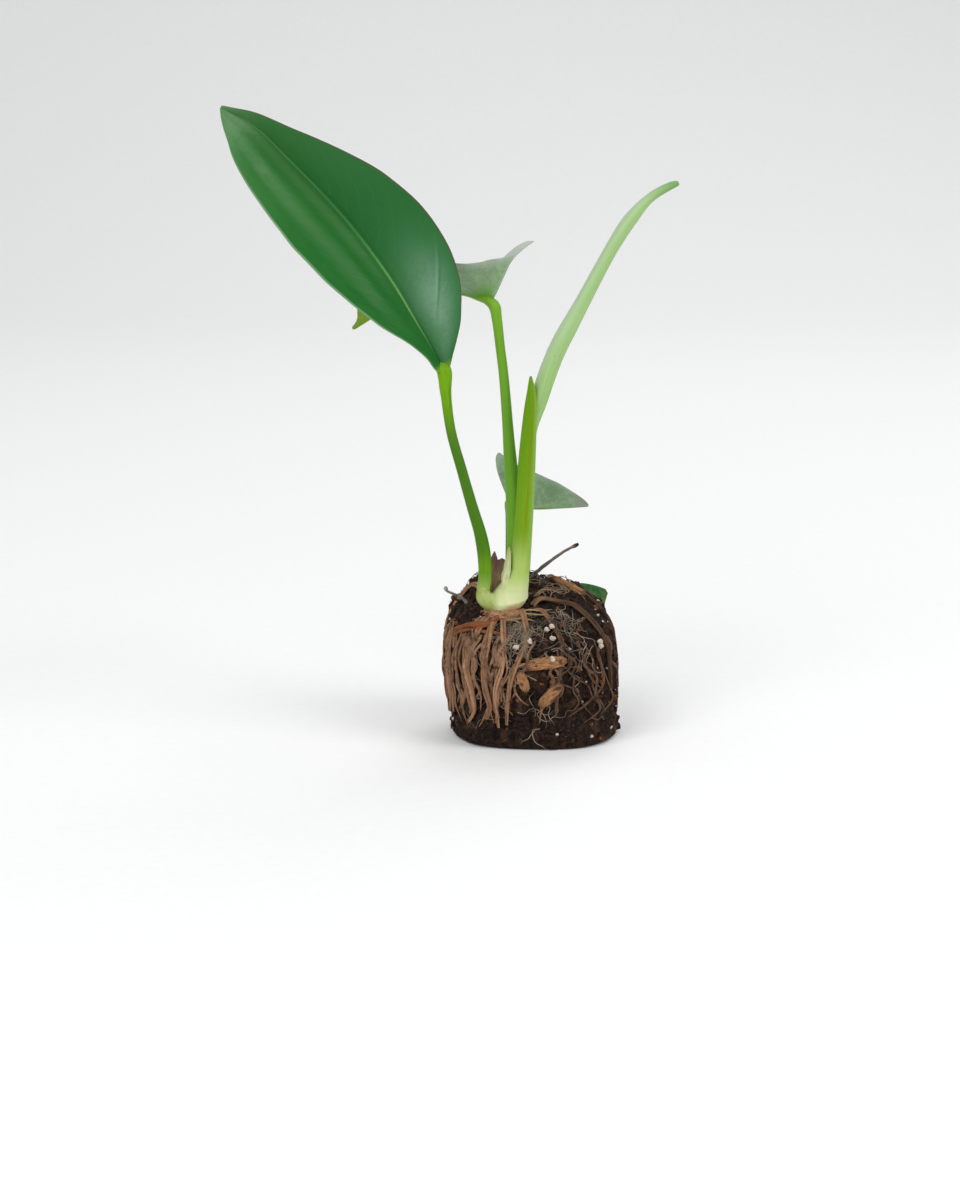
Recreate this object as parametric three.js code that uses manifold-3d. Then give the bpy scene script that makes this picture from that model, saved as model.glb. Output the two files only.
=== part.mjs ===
// Young dragon tail plant lifted out of its pot, standing on its own bare plug of potting soil.
// Four leaves on stalks and one leaf still rolled up rise from a pale crown. Brown roots run from
// under the crown over the plug and down its side.
// Millimetres, +Z up. The origin is the middle of the plug's flat underside, -Y is the front.

import * as THREE from 'three';
import { mergeVertices } from 'three/addons/utils/BufferGeometryUtils.js';
import Module from 'manifold-3d';

const wasm = await Module();
wasm.setup();

// Driving dimensions
const GAP = 0.3; // clearance between pieces that touch
const HAIR = 0.004; // distance under which two points of a piece are one
const BLADE = 0.7; // thickness of a leaf blade
const SLIT = 0.03; // half the gap kept between the upper faces of a sharply folded blade
const PLUG_BASE = 20.5; // half width of the plug's flat underside
const PLUG_WAIST = 24.8; // half width of the plug at its widest
const PLUG_TOP = 43.8; // height of the plug's dome before its tilt
const PLUG_SQUARENESS = 2.4; // superellipse power of the plug's plan, 2 is a circle
const RIGHT_SPREAD = 0.12; // how much wider than its profile the plug's right foot is
const LEFT_SLOPE = 0.1; // how much narrower than its profile the plug's left shoulder is
const LUMP = 1.5; // depth of the large lumps of the soil
const CRUMB_COUNT = 20;
const PERLITE_COUNT = 14;
const ROOT_SIDES = 5;
const ROOT_DEPTH = 0.35; // how deep the roots are pressed into the soil, besides a quarter of them
const STALK_SIDES = 10;

// Small tools: vectors, tables, noise and random numbers
const vec = (x, y, z) => new THREE.Vector3(x, y, z);
const mix = (a, b, t) => a + (b - a) * t;
const rad = THREE.MathUtils.degToRad;
const smooth = THREE.MathUtils.smoothstep;

// Value at t of the monotone cubic through [position, value] stops.
function table(stops, t) {
  const last = stops.length - 1;
  const slope = (i) => (stops[i + 1][1] - stops[i][1]) / (stops[i + 1][0] - stops[i][0]);
  const tangent = (i) => {
    if (i === 0) return slope(0);
    if (i === last) return slope(last - 1);
    const before = slope(i - 1);
    const after = slope(i);
    if (before * after <= 0) return 0;
    const h0 = stops[i][0] - stops[i - 1][0];
    const h1 = stops[i + 1][0] - stops[i][0];
    const w0 = 2 * h1 + h0;
    const w1 = h1 + 2 * h0;
    return (w0 + w1) / (w0 / before + w1 / after);
  };
  let i = 0;
  while (i < last - 1 && t > stops[i + 1][0]) i += 1;
  const h = stops[i + 1][0] - stops[i][0];
  const s = THREE.MathUtils.clamp((t - stops[i][0]) / h, 0, 1);
  const s2 = s * s;
  const s3 = s2 * s;
  return (2 * s3 - 3 * s2 + 1) * stops[i][1] + (s3 - 2 * s2 + s) * h * tangent(i)
    + (3 * s2 - 2 * s3) * stops[i + 1][1] + (s3 - s2) * h * tangent(i + 1);
}

// Random numbers from 0 to 1 that are the same on every run.
function randomFrom(seed) {
  let state = seed;
  return () => {
    state = (state + 0x6d2b79f5) | 0;
    let r = Math.imul(state ^ (state >>> 15), 1 | state);
    r = (r + Math.imul(r ^ (r >>> 7), 61 | r)) ^ r;
    return ((r ^ (r >>> 14)) >>> 0) / 4294967296;
  };
}

// Fixed random value from 0 to 1 at a whole-numbered point of space.
function speck(x, y, z) {
  let h = Math.imul(x, 374761393) ^ Math.imul(y, 668265263) ^ Math.imul(z, 1274126177);
  h = Math.imul(h ^ (h >>> 13), 1103515245);
  return ((h ^ (h >>> 16)) >>> 0) / 4294967296;
}

// Smooth noise from -1 to 1: the eight specks round a point, blended.
function noise(p, size) {
  const at = [p.x / size, p.y / size, p.z / size];
  const cell = at.map(Math.floor);
  const f = at.map((v, k) => smooth(v - cell[k], 0, 1));
  const corner = (dx, dy, dz) => speck(cell[0] + dx, cell[1] + dy, cell[2] + dz);
  const row = (dy, dz) => mix(corner(0, dy, dz), corner(1, dy, dz), f[0]);
  const sheet = (dz) => mix(row(0, dz), row(1, dz), f[1]);
  return 2 * mix(sheet(0), sheet(1), f[2]) - 1;
}

// Meshes and solids

function meshOf(points, faces) {
  const geometry = new THREE.BufferGeometry();
  const flat = points.flatMap((p) => [p.x, p.y, p.z]);
  geometry.setAttribute('position', new THREE.Float32BufferAttribute(flat, 3));
  geometry.setIndex(faces.flat());
  return geometry;
}

// A geometry made one closed solid, its shared points merged.
function solid(geometry) {
  const bare = geometry.clone();
  bare.deleteAttribute('normal');
  bare.deleteAttribute('uv');
  const merged = mergeVertices(bare, 1e-4);
  const vertProperties = new Float32Array(merged.attributes.position.array);
  const triVerts = new Uint32Array(merged.index.array);
  return new wasm.Manifold(new wasm.Mesh({ numProp: 3, vertProperties, triVerts }));
}

// The largest single body of a solid, without loose scraps.
function largest(body) {
  const parts = body.decompose();
  return parts.reduce((best, one) => (one.volume() > best.volume() ? one : best));
}

// The same with slivers gone: points closer than a hair are merged and the rest picked again.
function tidied(body) {
  const merged = mergeVertices(geometryOf(largest(body)), HAIR);
  return largest(solid(merged));
}

function geometryOf(body) {
  const { vertProperties, triVerts, numProp } = body.getMesh();
  const points = [];
  for (let i = 0; i < vertProperties.length; i += numProp) {
    points.push(vec(vertProperties[i], vertProperties[i + 1], vertProperties[i + 2]));
  }
  const faces = [];
  for (let i = 0; i < triVerts.length; i += 3) faces.push([...triVerts.slice(i, i + 3)]);
  return meshOf(points, faces);
}

const cut = (body, ...others) => others.reduce((left, other) => left.subtract(other), body);
const join = (...bodies) => bodies.reduce((all, one) => all.add(one));

// Closed skin over rings of points, closed at both ends by a fan from the middle of the ring, or
// at the first end from a given point.
const middle = (ring) => ring.reduce((sum, p) => sum.add(p), vec(0, 0, 0)).divideScalar(ring.length);
function skin(rings, foot = middle(rings[0])) {
  const sides = rings[0].length;
  const points = rings.flat();
  const faces = [];
  for (let i = 0; i < rings.length - 1; i += 1) {
    for (let j = 0; j < sides; j += 1) {
      const a = i * sides + j;
      const b = i * sides + ((j + 1) % sides);
      faces.push([a, b, b + sides], [a, b + sides, a + sides]);
    }
  }
  const first = points.push(foot) - 1;
  const last = points.push(middle(rings[rings.length - 1])) - 1;
  const top = (rings.length - 1) * sides;
  for (let j = 0; j < sides; j += 1) {
    const k = (j + 1) % sides;
    faces.push([first, k, j], [last, top + j, top + k]);
  }
  return meshOf(points, faces);
}

// Closed thin shell between two like grids of points, both split into triangles the same way.
function shell(upper, lower) {
  const rows = upper.length;
  const columns = upper[0].length;
  const points = [...upper.flat(), ...lower.flat()];
  const under = rows * columns;
  const faces = [];
  for (let i = 0; i < rows - 1; i += 1) {
    for (let j = 0; j < columns - 1; j += 1) {
      const a = i * columns + j;
      const c = a + columns;
      faces.push([a, c + 1, c], [a, a + 1, c + 1]);
      faces.push([under + a, under + c, under + c + 1], [under + a, under + c + 1, under + a + 1]);
    }
  }
  const edge = (a, b) => faces.push([a, b, under + b], [a, under + b, under + a]);
  for (let i = 0; i < rows - 1; i += 1) {
    edge(i * columns, (i + 1) * columns);
    edge((i + 2) * columns - 1, (i + 1) * columns - 1);
  }
  for (let j = 0; j < columns - 1; j += 1) {
    edge(j + 1, j);
    edge((rows - 1) * columns + j, (rows - 1) * columns + j + 1);
  }
  return meshOf(points, faces);
}

// A smooth path through points, with its direction and a sideways frame turned to a reference.
function path(points) {
  const curve = new THREE.CatmullRomCurve3(points.map((p) => vec(...p)), false, 'centripetal');
  curve.arcLengthDivisions = 600;
  return (t, reference) => {
    const along = curve.getTangentAt(t);
    const out = reference.clone().addScaledVector(along, -reference.dot(along)).normalize();
    const side = along.clone().cross(out);
    return { at: curve.getPointAt(t), along, out, side };
  };
}

// Round or oval stalk along a path: radius by a table, depth as a share of the radius, and an
// optional groove pressed into the side that faces the reference.
function stalk({ points, radius, sides = STALK_SIDES, steps = 22, depth = 1, groove = 0,
  facing = [0, -1, 0] }, grow = 0) {
  const frame = path(points);
  const rings = [];
  for (let i = 0; i <= steps; i += 1) {
    const t = i / steps;
    const { at, along, out, side } = frame(t, vec(...facing));
    const r = table(radius, t);
    const reach = i === 0 ? -grow : i === steps ? grow : 0;
    const centre = at.clone().addScaledVector(along, reach);
    const ring = [];
    for (let j = 0; j < sides; j += 1) {
      const a = (2 * Math.PI * j) / sides;
      const dent = groove * Math.max(0, Math.cos(a)) ** 3;
      const across = Math.sin(a) * (r + grow);
      const forward = Math.cos(a) * (r * depth * (1 - dent) + grow);
      ring.push(centre.clone().addScaledVector(side, across).addScaledVector(out, forward));
    }
    rings.push(ring);
  }
  return solid(skin(rings));
}

// Leaf blade. A midrib path carries two halves. Each half has its own width, its fold up from
// flat and its curl, which bends it on towards the margin, and leans back along the midrib.
// Where they are folded sharply, a slit keeps the two upper faces from running into each other.
// Rows lie closer at the base, and the midrib stands out below as a keel.
function blade(leaf, grow = 0) {
  const { midrib, face, rows = 24, shares = [0.06, 0.28, 0.52, 0.76, 1], keel = 0.7 } = leaf;
  const frame = path(midrib);
  const reference = (t) => vec(...face[0]).lerp(vec(...face[1]), t);
  const upper = [];
  const lower = [];
  for (let i = 0; i < rows; i += 1) {
    const t = (i / (rows - 1)) ** 1.35;
    const { at, along, out, side } = frame(t, reference(t));
    at.addScaledVector(along, i === 0 ? -grow : i === rows - 1 ? grow : 0);
    const rowUp = [];
    const rowDown = [];
    const place = (half, sign, share) => {
      const width = table(half.width, t) + grow;
      const fold = rad(table(half.fold, t));
      const bend = rad(table(half.curl, t)) || 1e-4;
      const lean = table(half.lean, t);
      const turn = fold + bend * share;
      const a = (Math.sin(turn) - Math.sin(fold)) / bend;
      const b = (Math.cos(fold) - Math.cos(turn)) / bend;
      const p = at.clone().addScaledVector(side, sign * width * a).addScaledVector(out, width * b);
      p.addScaledVector(along, -lean * width * share);
      const inner = width * a - (BLADE / 2 + grow) * Math.sin(turn);
      p.addScaledVector(side, sign * Math.max(0, SLIT * (1 + share) - inner));
      const normal = out.clone().multiplyScalar(Math.cos(turn));
      normal.addScaledVector(side, -sign * Math.sin(turn));
      const rib = keel * Math.exp(-((share / 0.06) ** 2)) * mix(1, 0.3, t);
      rowUp.push(p.clone().addScaledVector(normal, BLADE / 2 + grow));
      rowDown.push(p.clone().addScaledVector(normal, -BLADE / 2 - rib - grow));
    };
    [...shares].reverse().forEach((share) => place(leaf.left, -1, share));
    const middle = at.clone();
    rowUp.push(middle.clone().addScaledVector(out, BLADE / 2 + grow));
    rowDown.push(middle.clone().addScaledVector(out, -BLADE / 2 - keel * mix(1, 0.3, t) - grow));
    shares.forEach((share) => place(leaf.right, 1, share));
    upper.push(rowUp);
    lower.push(rowDown);
  }
  return solid(shell(upper, lower));
}

// Leaf 1, the large one: upright, its glossy face to the front, folded along the midrib
const leaf1 = {
  midrib: [[-25.2, -4, 108.1], [-31.8, -3, 119.3], [-40.3, -1, 133.4], [-52.9, 3, 149.8],
    [-69.1, 9, 166.3], [-80.2, 14, 176.4], [-89.6, 18, 182.2]],
  face: [[0.05, -1, 0.08], [0.05, -1, 0.08]],
  right: {
    width: [[0, 1.8], [0.02, 4.4], [0.05, 7.4], [0.1, 11.8], [0.2, 17.2], [0.3, 19.5], [0.4, 20],
      [0.5, 19.2], [0.6, 17], [0.7, 14.4], [0.8, 10.6], [0.88, 6.8], [0.94, 3.4], [1, 0.4]],
    fold: [[0, 30], [0.1, 14], [0.3, 14], [0.5, 33], [0.7, 52], [0.85, 64], [1, 66]],
    curl: [[0, -10], [0.5, -10], [1, 0]],
    lean: [[0, 0], [1, 0]],
  },
  left: {
    width: [[0, 1.8], [0.02, 3.2], [0.05, 4.5], [0.1, 7.4], [0.2, 14.8], [0.3, 18.2], [0.4, 19.5],
      [0.5, 19.5], [0.6, 18.1], [0.7, 16], [0.8, 13.4], [0.88, 10.6], [0.94, 7], [0.98, 3.1], [1, 0.4]],
    fold: [[0, 62], [0.1, 58], [0.3, 47], [0.5, 38], [0.7, 28], [0.85, 18], [1, 10]],
    curl: [[0, -10], [0.5, -10], [1, 0]],
    lean: [[0, 0], [1, 0]],
  },
};
const petiole1 = {
  points: [[-13.9, -12.1, 45.2], [-13.4, -12, 49.2], [-13.6, -11.5, 54.8], [-14.7, -10.8, 61],
    [-17.3, -9.6, 69.7], [-20.1, -8.2, 79.5], [-23.2, -6.6, 90.6], [-24.7, -4.8, 101.6],
    [-25.1, -4.1, 107.4]],
  radius: [[0, 1.9], [0.15, 1.95], [0.3, 1.7], [0.5, 1.5], [0.75, 1.4], [0.92, 1.55], [1, 1.9]],
  groove: 0.25,
};

// Leaf 2: seen from below, trough-shaped at its base and drooping away to the back left
const leaf2 = {
  midrib: [[-11.1, 6, 127.3], [-15.5, 10, 127.8], [-20.2, 16, 128.2], [-30.6, 30, 126],
    [-43.1, 44, 120.7], [-54.5, 54, 113.8]],
  face: [[0.1, 0.1, 1], [-0.2, 0.3, 1]],
  right: {
    width: [[0, 1.6], [0.015, 9], [0.037, 23.4], [0.064, 11.5], [0.094, 13], [0.16, 16],
      [0.3, 17.5], [0.45, 16.5], [0.65, 13], [0.82, 7.6], [0.91, 3.6], [0.96, 1.5], [1, 0.4]],
    fold: [[0, 86], [0.05, 85], [0.064, 76], [0.094, 55], [0.14, 40], [0.3, 32], [0.6, 24], [1, 12]],
    curl: [[0, -20], [0.015, -25], [0.037, -56], [0.064, -56], [0.12, -45], [0.3, -25], [1, 0]],
    lean: [[0, 0.2], [0.037, 0.2], [0.064, -0.2], [0.12, -0.5], [0.2, -0.3], [0.4, 0], [1, -0.2]],
  },
  left: {
    width: [[0, 1.6], [0.015, 7], [0.037, 14], [0.064, 12.6], [0.1, 12.9], [0.2, 13.6], [0.3, 14.8],
      [0.45, 15.3], [0.65, 13], [0.82, 7.6], [0.91, 3.6], [0.96, 1.5], [1, 0.4]],
    fold: [[0, 80], [0.05, 76], [0.1, 56], [0.2, 37], [0.4, 26], [1, 12]],
    curl: [[0, 0], [1, 0]],
    lean: [[0, 0.7], [0.037, 0.7], [0.064, 0.58], [0.1, 0.66], [0.2, 0.6], [0.4, 0], [1, -0.2]],
  },
};
const petiole2 = {
  points: [[-6.4, -6.8, 44.5], [-5.5, -7.4, 50], [-4.8, -7.4, 56.6], [-4.8, -6.8, 63.5],
    [-5.3, -6, 73], [-6.2, -4.6, 82.7], [-7.3, -1.8, 97.4], [-8.1, 0.6, 106.4], [-9, 2.6, 113.5],
    [-10, 4.6, 121.8], [-10.8, 5.5, 126.3]],
  radius: [[0, 2.1], [0.3, 2.3], [0.42, 2.0], [0.6, 1.55], [0.85, 1.4], [0.95, 1.5], [1, 1.7]],
  steps: 26,
};

// Leaf 3: small, half way up behind the stalks, its blade on edge to the right
const leaf3 = {
  midrib: [[-6.4, 5, 68.4], [-0.2, 7.5, 65.8], [8.8, 11, 65.2], [17.2, 15, 64.9]],
  face: [[0, 0.1, 1], [0, 0.1, 1]],
  rows: 16,
  shares: [0.09, 0.4, 0.7, 1],
  keel: 0.4,
  right: {
    width: [[0, 1.3], [0.03, 7], [0.08, 10.5], [0.16, 12.2], [0.3, 12.4], [0.42, 11.4],
      [0.56, 9], [0.7, 6.6], [0.85, 3.9], [0.95, 1.9], [1, 0.4]],
    fold: [[0, 84], [1, 74]],
    curl: [[0, 0], [1, 0]],
    lean: [[0, 1.15], [0.16, 1], [0.3, 0.6], [0.6, 0.2], [1, 0.1]],
  },
  left: {
    width: [[0, 1.3], [0.03, 7], [0.08, 10.5], [0.16, 12.2], [0.3, 12.4], [0.42, 11.4],
      [0.56, 9], [0.7, 6.6], [0.85, 3.9], [0.95, 1.9], [1, 0.4]],
    fold: [[0, 50], [1, 40]],
    curl: [[0, -30], [1, -10]],
    lean: [[0, 0], [1, 0]],
  },
};
const petiole3 = {
  points: [[-6.5, 0.5, 40.5], [-7, 1.2, 47], [-7.2, 2.4, 56], [-6.9, 4.1, 64], [-6.6, 4.9, 67.6]],
  radius: [[0, 1.5], [0.5, 1.2], [0.9, 1.1], [1, 1.2]],
  sides: 8,
  steps: 12,
};

// Leaf 4: small and blunt, lying against the plug's right shoulder at the back
const leaf4 = {
  midrib: [[9, 19.8, 37.4], [15.5, 20.8, 34.9], [22.3, 20.4, 33]],
  face: [[0, -0.9, 0.4], [0, -0.9, 0.4]],
  rows: 12,
  shares: [0.12, 0.5, 1],
  keel: 0.3,
  right: {
    width: [[0, 1.2], [0.15, 3.4], [0.4, 5.2], [0.7, 5.6], [0.92, 5.4], [1, 4.4]],
    fold: [[0, 24], [1, 10]],
    curl: [[0, 0], [1, 0]],
    lean: [[0, 0], [1, 0]],
  },
  left: {
    width: [[0, 1.2], [0.15, 3.4], [0.4, 5.2], [0.7, 5.6], [0.92, 5.4], [1, 4.4]],
    fold: [[0, 24], [1, 10]],
    curl: [[0, 0], [1, 0]],
    lean: [[0, 0], [1, 0]],
  },
};
const petiole4 = {
  points: [[4.6, 11, 39.6], [5.4, 13.4, 42.6], [6.4, 16, 43], [7.6, 18.4, 41], [8.7, 19.6, 38.2]],
  radius: [[0, 1.1], [1, 1]],
  sides: 7,
  steps: 9,
};

// Sheath: the folded base of the newest stalk, with the rolled leaf coming out of its back
const sheath = {
  points: [[-3.4, -10, 52.3], [-2.6, -10, 60], [-1.8, -10, 73.7], [-1.4, -10, 83],
    [-0.8, -10.2, 92.4], [-0.2, -10.4, 101.8], [-0.4, -10.4, 106.9]],
  radius: [[0, 3], [0.2, 2.7], [0.55, 2.5], [0.75, 2.1], [0.86, 1.75], [0.94, 1.1], [1, 0.35]],
  depth: 0.92,
  steps: 18,
};
const rolledLeaf = {
  points: [[-1.5, -7.4, 80], [-1.1, -7.4, 86], [-0.3, -7.5, 92.2], [1.6, -7.7, 98.3],
    [4.5, -7.6, 107.3], [7.5, -6.8, 114.8], [11.4, -5.5, 122.1], [15.5, -4.2, 129.5],
    [19.4, -3, 136.7], [23.6, -1.8, 144.1], [28.2, -0.5, 150.9], [33.6, 0.8, 156.6],
    [39.6, 1.9, 160], [41.8, 2.2, 160.7]],
  radius: [[0, 1.6], [0.12, 2.1], [0.25, 2.55], [0.4, 2.6], [0.55, 2.15], [0.7, 1.95], [0.8, 2.05],
    [0.9, 1.4], [0.97, 1.15], [1, 0.8]],
  groove: 0.12,
  facing: [-0.6, -0.8, 0],
  steps: 28,
};

// Dry scale leaves at the foot of the stalks
const scaleEdge = [[0, 1.4], [0.4, 1.7], [0.75, 1.1], [1, 0.35]];
const level = [[0, 0], [1, 0]];
const scaleHalf = (fold) => ({ width: scaleEdge, fold: [[0, fold], [1, fold * 0.6]], curl: level, lean: level });
const cataphyll1 = {
  midrib: [[-8.9, -12.6, 45.6], [-8.3, -12.4, 50], [-7.4, -12, 54], [-6.9, -12, 57.6]],
  face: [[0.75, 0.65, 0], [0.75, 0.65, 0]],
  rows: 8,
  shares: [0.5, 1],
  keel: 0,
  right: scaleHalf(34),
  left: scaleHalf(34),
};
const cataphyll2 = {
  midrib: [[-11.4, -7.2, 43], [-11.6, -6.8, 47], [-10.9, -6.6, 51], [-9.9, -6.2, 54.6]],
  face: [[0.3, -1, 0], [0.6, -0.8, 0]],
  rows: 8,
  shares: [0.5, 1],
  keel: 0,
  right: scaleHalf(24),
  left: scaleHalf(24),
};

// Crown: the white-green foot of the shoot, an oval stack with a knob under the first stalk
const crownRings = [
  { z: 36.8, x: -8, y: -9.4, rx: 3.4, ry: 2.8 },
  { z: 38.6, x: -7.8, y: -9.7, rx: 5.8, ry: 4.4 },
  { z: 41, x: -7.4, y: -10, rx: 6.3, ry: 4.9 },
  { z: 43.6, x: -6.3, y: -10, rx: 5.4, ry: 4.4 },
  { z: 46.2, x: -5, y: -10, rx: 4.3, ry: 3.8 },
  { z: 49, x: -4.1, y: -10, rx: 3.5, ry: 3.2 },
  { z: 52, x: -3.5, y: -10, rx: 3, ry: 2.8 },
];
const CROWN_SIDES = 14;
const knob = {
  points: [[-8.5, -10.4, 40.2], [-11.5, -11.4, 41.2], [-13.6, -12, 43], [-13.9, -12.1, 44.9]],
  radius: [[0, 2.6], [0.5, 2.7], [0.8, 2.5], [1, 1.9]],
  steps: 7,
};

function crownSolid(grow = 0) {
  const rings = crownRings.map(({ z, x, y, rx, ry }, i) => {
    const lift = i === 0 ? -grow : i === crownRings.length - 1 ? grow : 0;
    const ring = [];
    for (let j = 0; j < CROWN_SIDES; j += 1) {
      const a = (2 * Math.PI * j) / CROWN_SIDES;
      ring.push(vec(x + (rx + grow) * Math.cos(a), y + (ry + grow) * Math.sin(a), z + lift));
    }
    return ring;
  });
  return join(solid(skin(rings)), stalk(knob, grow));
}

// Soil plug: its form before the lumps, as half width by height, squarish in plan
const plugProfile = [[0, PLUG_BASE], [0.8, 22.6], [4, 23.4], [10, 23.9], [18, 24.4],
  [26, PLUG_WAIST], [31, 24.2], [34.5, 22.8], [37.5, 20.2], [40, 17], [41.8, 13], [43, 8.5],
  [43.6, 4], [PLUG_TOP, 0]];

// The top is tilted to the front and heaped up at the left and the back left.
function plugTilt(x, y) {
  const heap = 2.6 * Math.exp(-((x + 13) ** 2 + (y - 5) ** 2) / 34);
  return 0.22 * y + 0.22 * Math.max(0, -x - 6) + heap;
}

// Both sides lean in towards the top, the left one only at its shoulder: the reach as a share of
// the profile's half width.
function sideLean(x, y, height) {
  const foot = RIGHT_SPREAD * Math.max(0, x) * (1 - height / 25);
  const shoulder = LEFT_SLOPE * Math.max(0, -x) * smooth(height, 22, 42);
  return 1 + (foot - shoulder) / Math.hypot(x, y);
}

function plugHolds(p) {
  const share = smooth(p.z, 16, 37);
  const height = p.z - plugTilt(p.x, p.y) * share;
  if (height <= 0 || height >= PLUG_TOP) return false;
  const half = table(plugProfile, height) * sideLean(p.x, p.y, height);
  const power = PLUG_SQUARENESS;
  return Math.abs(p.x) ** power + Math.abs(p.y) ** power < half ** power;
}

// The point of the plug's form straight out from its core through a guide point, and a lift.
const CORE = vec(0, 0, 21);
function onPlug(guide, lift = 0) {
  const ray = guide.clone().sub(CORE).normalize();
  let near = 0;
  let far = 60;
  for (let i = 0; i < 30; i += 1) {
    const middle = (near + far) / 2;
    if (plugHolds(CORE.clone().addScaledVector(ray, middle))) near = middle;
    else far = middle;
  }
  return CORE.clone().addScaledVector(ray, near + lift);
}

const lump = (p) => LUMP * noise(p, 7.3) + 0.55 * LUMP * noise(p, 3.4);

function soilBody() {
  const columns = 40;
  const heights = [0, 0.8, 4, 8, 12, 16, 20, 24, 27.5, 31, 34, 36.6, 39, 41, 42.4, 43.3];
  const rings = heights.map((height) => {
    const half = table(plugProfile, height);
    const ring = [];
    for (let j = 0; j < columns; j += 1) {
      const a = (2 * Math.PI * j) / columns;
      const shape = (Math.abs(Math.cos(a)) ** PLUG_SQUARENESS
        + Math.abs(Math.sin(a)) ** PLUG_SQUARENESS) ** (-1 / PLUG_SQUARENESS);
      const reach = half * shape * sideLean(Math.cos(a), Math.sin(a), height);
      const flat = vec(reach * Math.cos(a), reach * Math.sin(a), height);
      const p = flat.clone();
      p.z += plugTilt(p.x, p.y) * smooth(height, 14, 36);
      const rough = lump(p) * smooth(height, 0.2, 3);
      const away = p.clone().sub(CORE).normalize();
      p.addScaledVector(away, rough);
      ring.push(p);
    }
    return ring;
  });
  return solid(skin(rings, vec(7, 4, 0))); // off centre, so that the origin is inside a facet
}

// Grains on the soil: crumbs of bark and white perlite, each a rough ball sunk into the surface.
function grains(count, seed, smallest, largestSize) {
  const random = randomFrom(seed);
  const bodies = [];
  for (let i = 0; i < count; i += 1) {
    const a = 2 * Math.PI * random();
    const z = mix(5, 60, random());
    const radius = mix(smallest, largestSize, random() ** 2);
    const guide = vec(30 * Math.cos(a), 30 * Math.sin(a), z);
    const centre = onPlug(guide, 0.1 * radius);
    centre.addScaledVector(centre.clone().sub(CORE).normalize(), lump(centre));
    const ball = new THREE.IcosahedronGeometry(radius, 0);
    ball.scale(1, mix(0.7, 1, random()), mix(0.6, 0.9, random()));
    ball.rotateX(6 * random());
    ball.rotateZ(6 * random());
    ball.translate(centre.x, centre.y, centre.z);
    bodies.push(solid(ball));
  }
  return bodies;
}

// Roots: flat strands from a collar under the crown, over the rim and down the plug's side
const collarAt = vec(-7.8, -9.6, 37.6);
const collar = {
  points: [[-7.8, -9.6, 34.2], [-7.8, -9.6, 36.2], [-7.8, -9.6, 38.4], [-7.8, -9.6, 39.4]],
  radius: [[0, 4.6], [0.35, 6.6], [0.8, 7], [1, 6.2]],
  depth: 0.85,
  sides: 10,
  steps: 4,
};

// A strand that leaves the collar's rim towards its first guide point and then follows all its
// guide points, brought onto the plug's surface.
function root({ guides, thick, steps = 12 }) {
  const points = guides.map((guide) => onPlug(vec(...guide), thick * 0.75 - ROOT_DEPTH));
  const away = Math.atan2(points[0].y - collarAt.y, points[0].x - collarAt.x);
  const reach = collar.radius[2][1];
  const rim = vec(reach * Math.cos(away), reach * collar.depth * Math.sin(away), -0.6).add(collarAt);
  const start = collarAt.clone().add(vec(2 * Math.cos(away), 2 * Math.sin(away), -1.8));
  const route = [start, rim, ...points].map((p) => [p.x, p.y, p.z]);
  const first = points[0].clone().sub(CORE).normalize();
  return {
    points: route,
    radius: [[0, thick * 0.8], [0.15, thick], [0.7, thick * 0.85], [1, thick * 0.55]],
    sides: ROOT_SIDES,
    depth: 0.8,
    steps,
    facing: [first.x, first.y, first.z + 0.01],
  };
}

// The bundle at the left of the front, its strands side by side and running straight down.
function bundle() {
  const random = randomFrom(7);
  const strands = [];
  const count = 7;
  for (let i = 0; i < count; i += 1) {
    const share = i / (count - 1);
    const a = rad(mix(188, 248, share));
    const wander = () => rad(mix(-4, 4, random()));
    const side = (z, turn) => [30 * Math.cos(a + turn), 30 * Math.sin(a + turn), z];
    const bend = wander();
    const low = mix(3.5, 9, random());
    strands.push(root({
      guides: [
        side(35, bend * 0.3),
        side(26, bend),
        side(17, wander()),
        side(low + 4, wander()),
        side(low, wander()),
      ],
      thick: mix(0.85, 1.15, random()),
    }));
  }
  return strands;
}

// The single roots that cross the front and go round the other sides.
function scattered() {
  const random = randomFrom(23);
  const strands = [];
  [266, 292, 330, 12, 90, 132, 168].forEach((angle, i) => {
    const a = rad(angle);
    const drift = rad(mix(-16, 16, random()));
    const reach = (share, z) => {
      const turn = a + drift * share;
      return [30 * Math.cos(turn), 30 * Math.sin(turn), z];
    };
    const over = (share) => {
      const x = mix(collarAt.x, 19 * Math.cos(a), share);
      const y = mix(collarAt.y, 19 * Math.sin(a), share);
      return [x, y, 44];
    };
    const low = mix(4, 16, random());
    const front = i < 2;
    const across = front ? [over(0.7)] : [over(0.4), over(0.7), over(0.95)];
    strands.push(root({
      guides: [...across, reach(0, 36), reach(0.4, 28), reach(0.8, 20), reach(1, low)],
      thick: mix(0.7, 1, random()),
      steps: front ? 12 : 14,
    }));
  });
  return strands;
}

const strands = [...bundle(), ...scattered()];
const rootsSolid = (grow = 0) => join(stalk(collar, grow), ...strands.map((one) => stalk(one, grow)));

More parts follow.
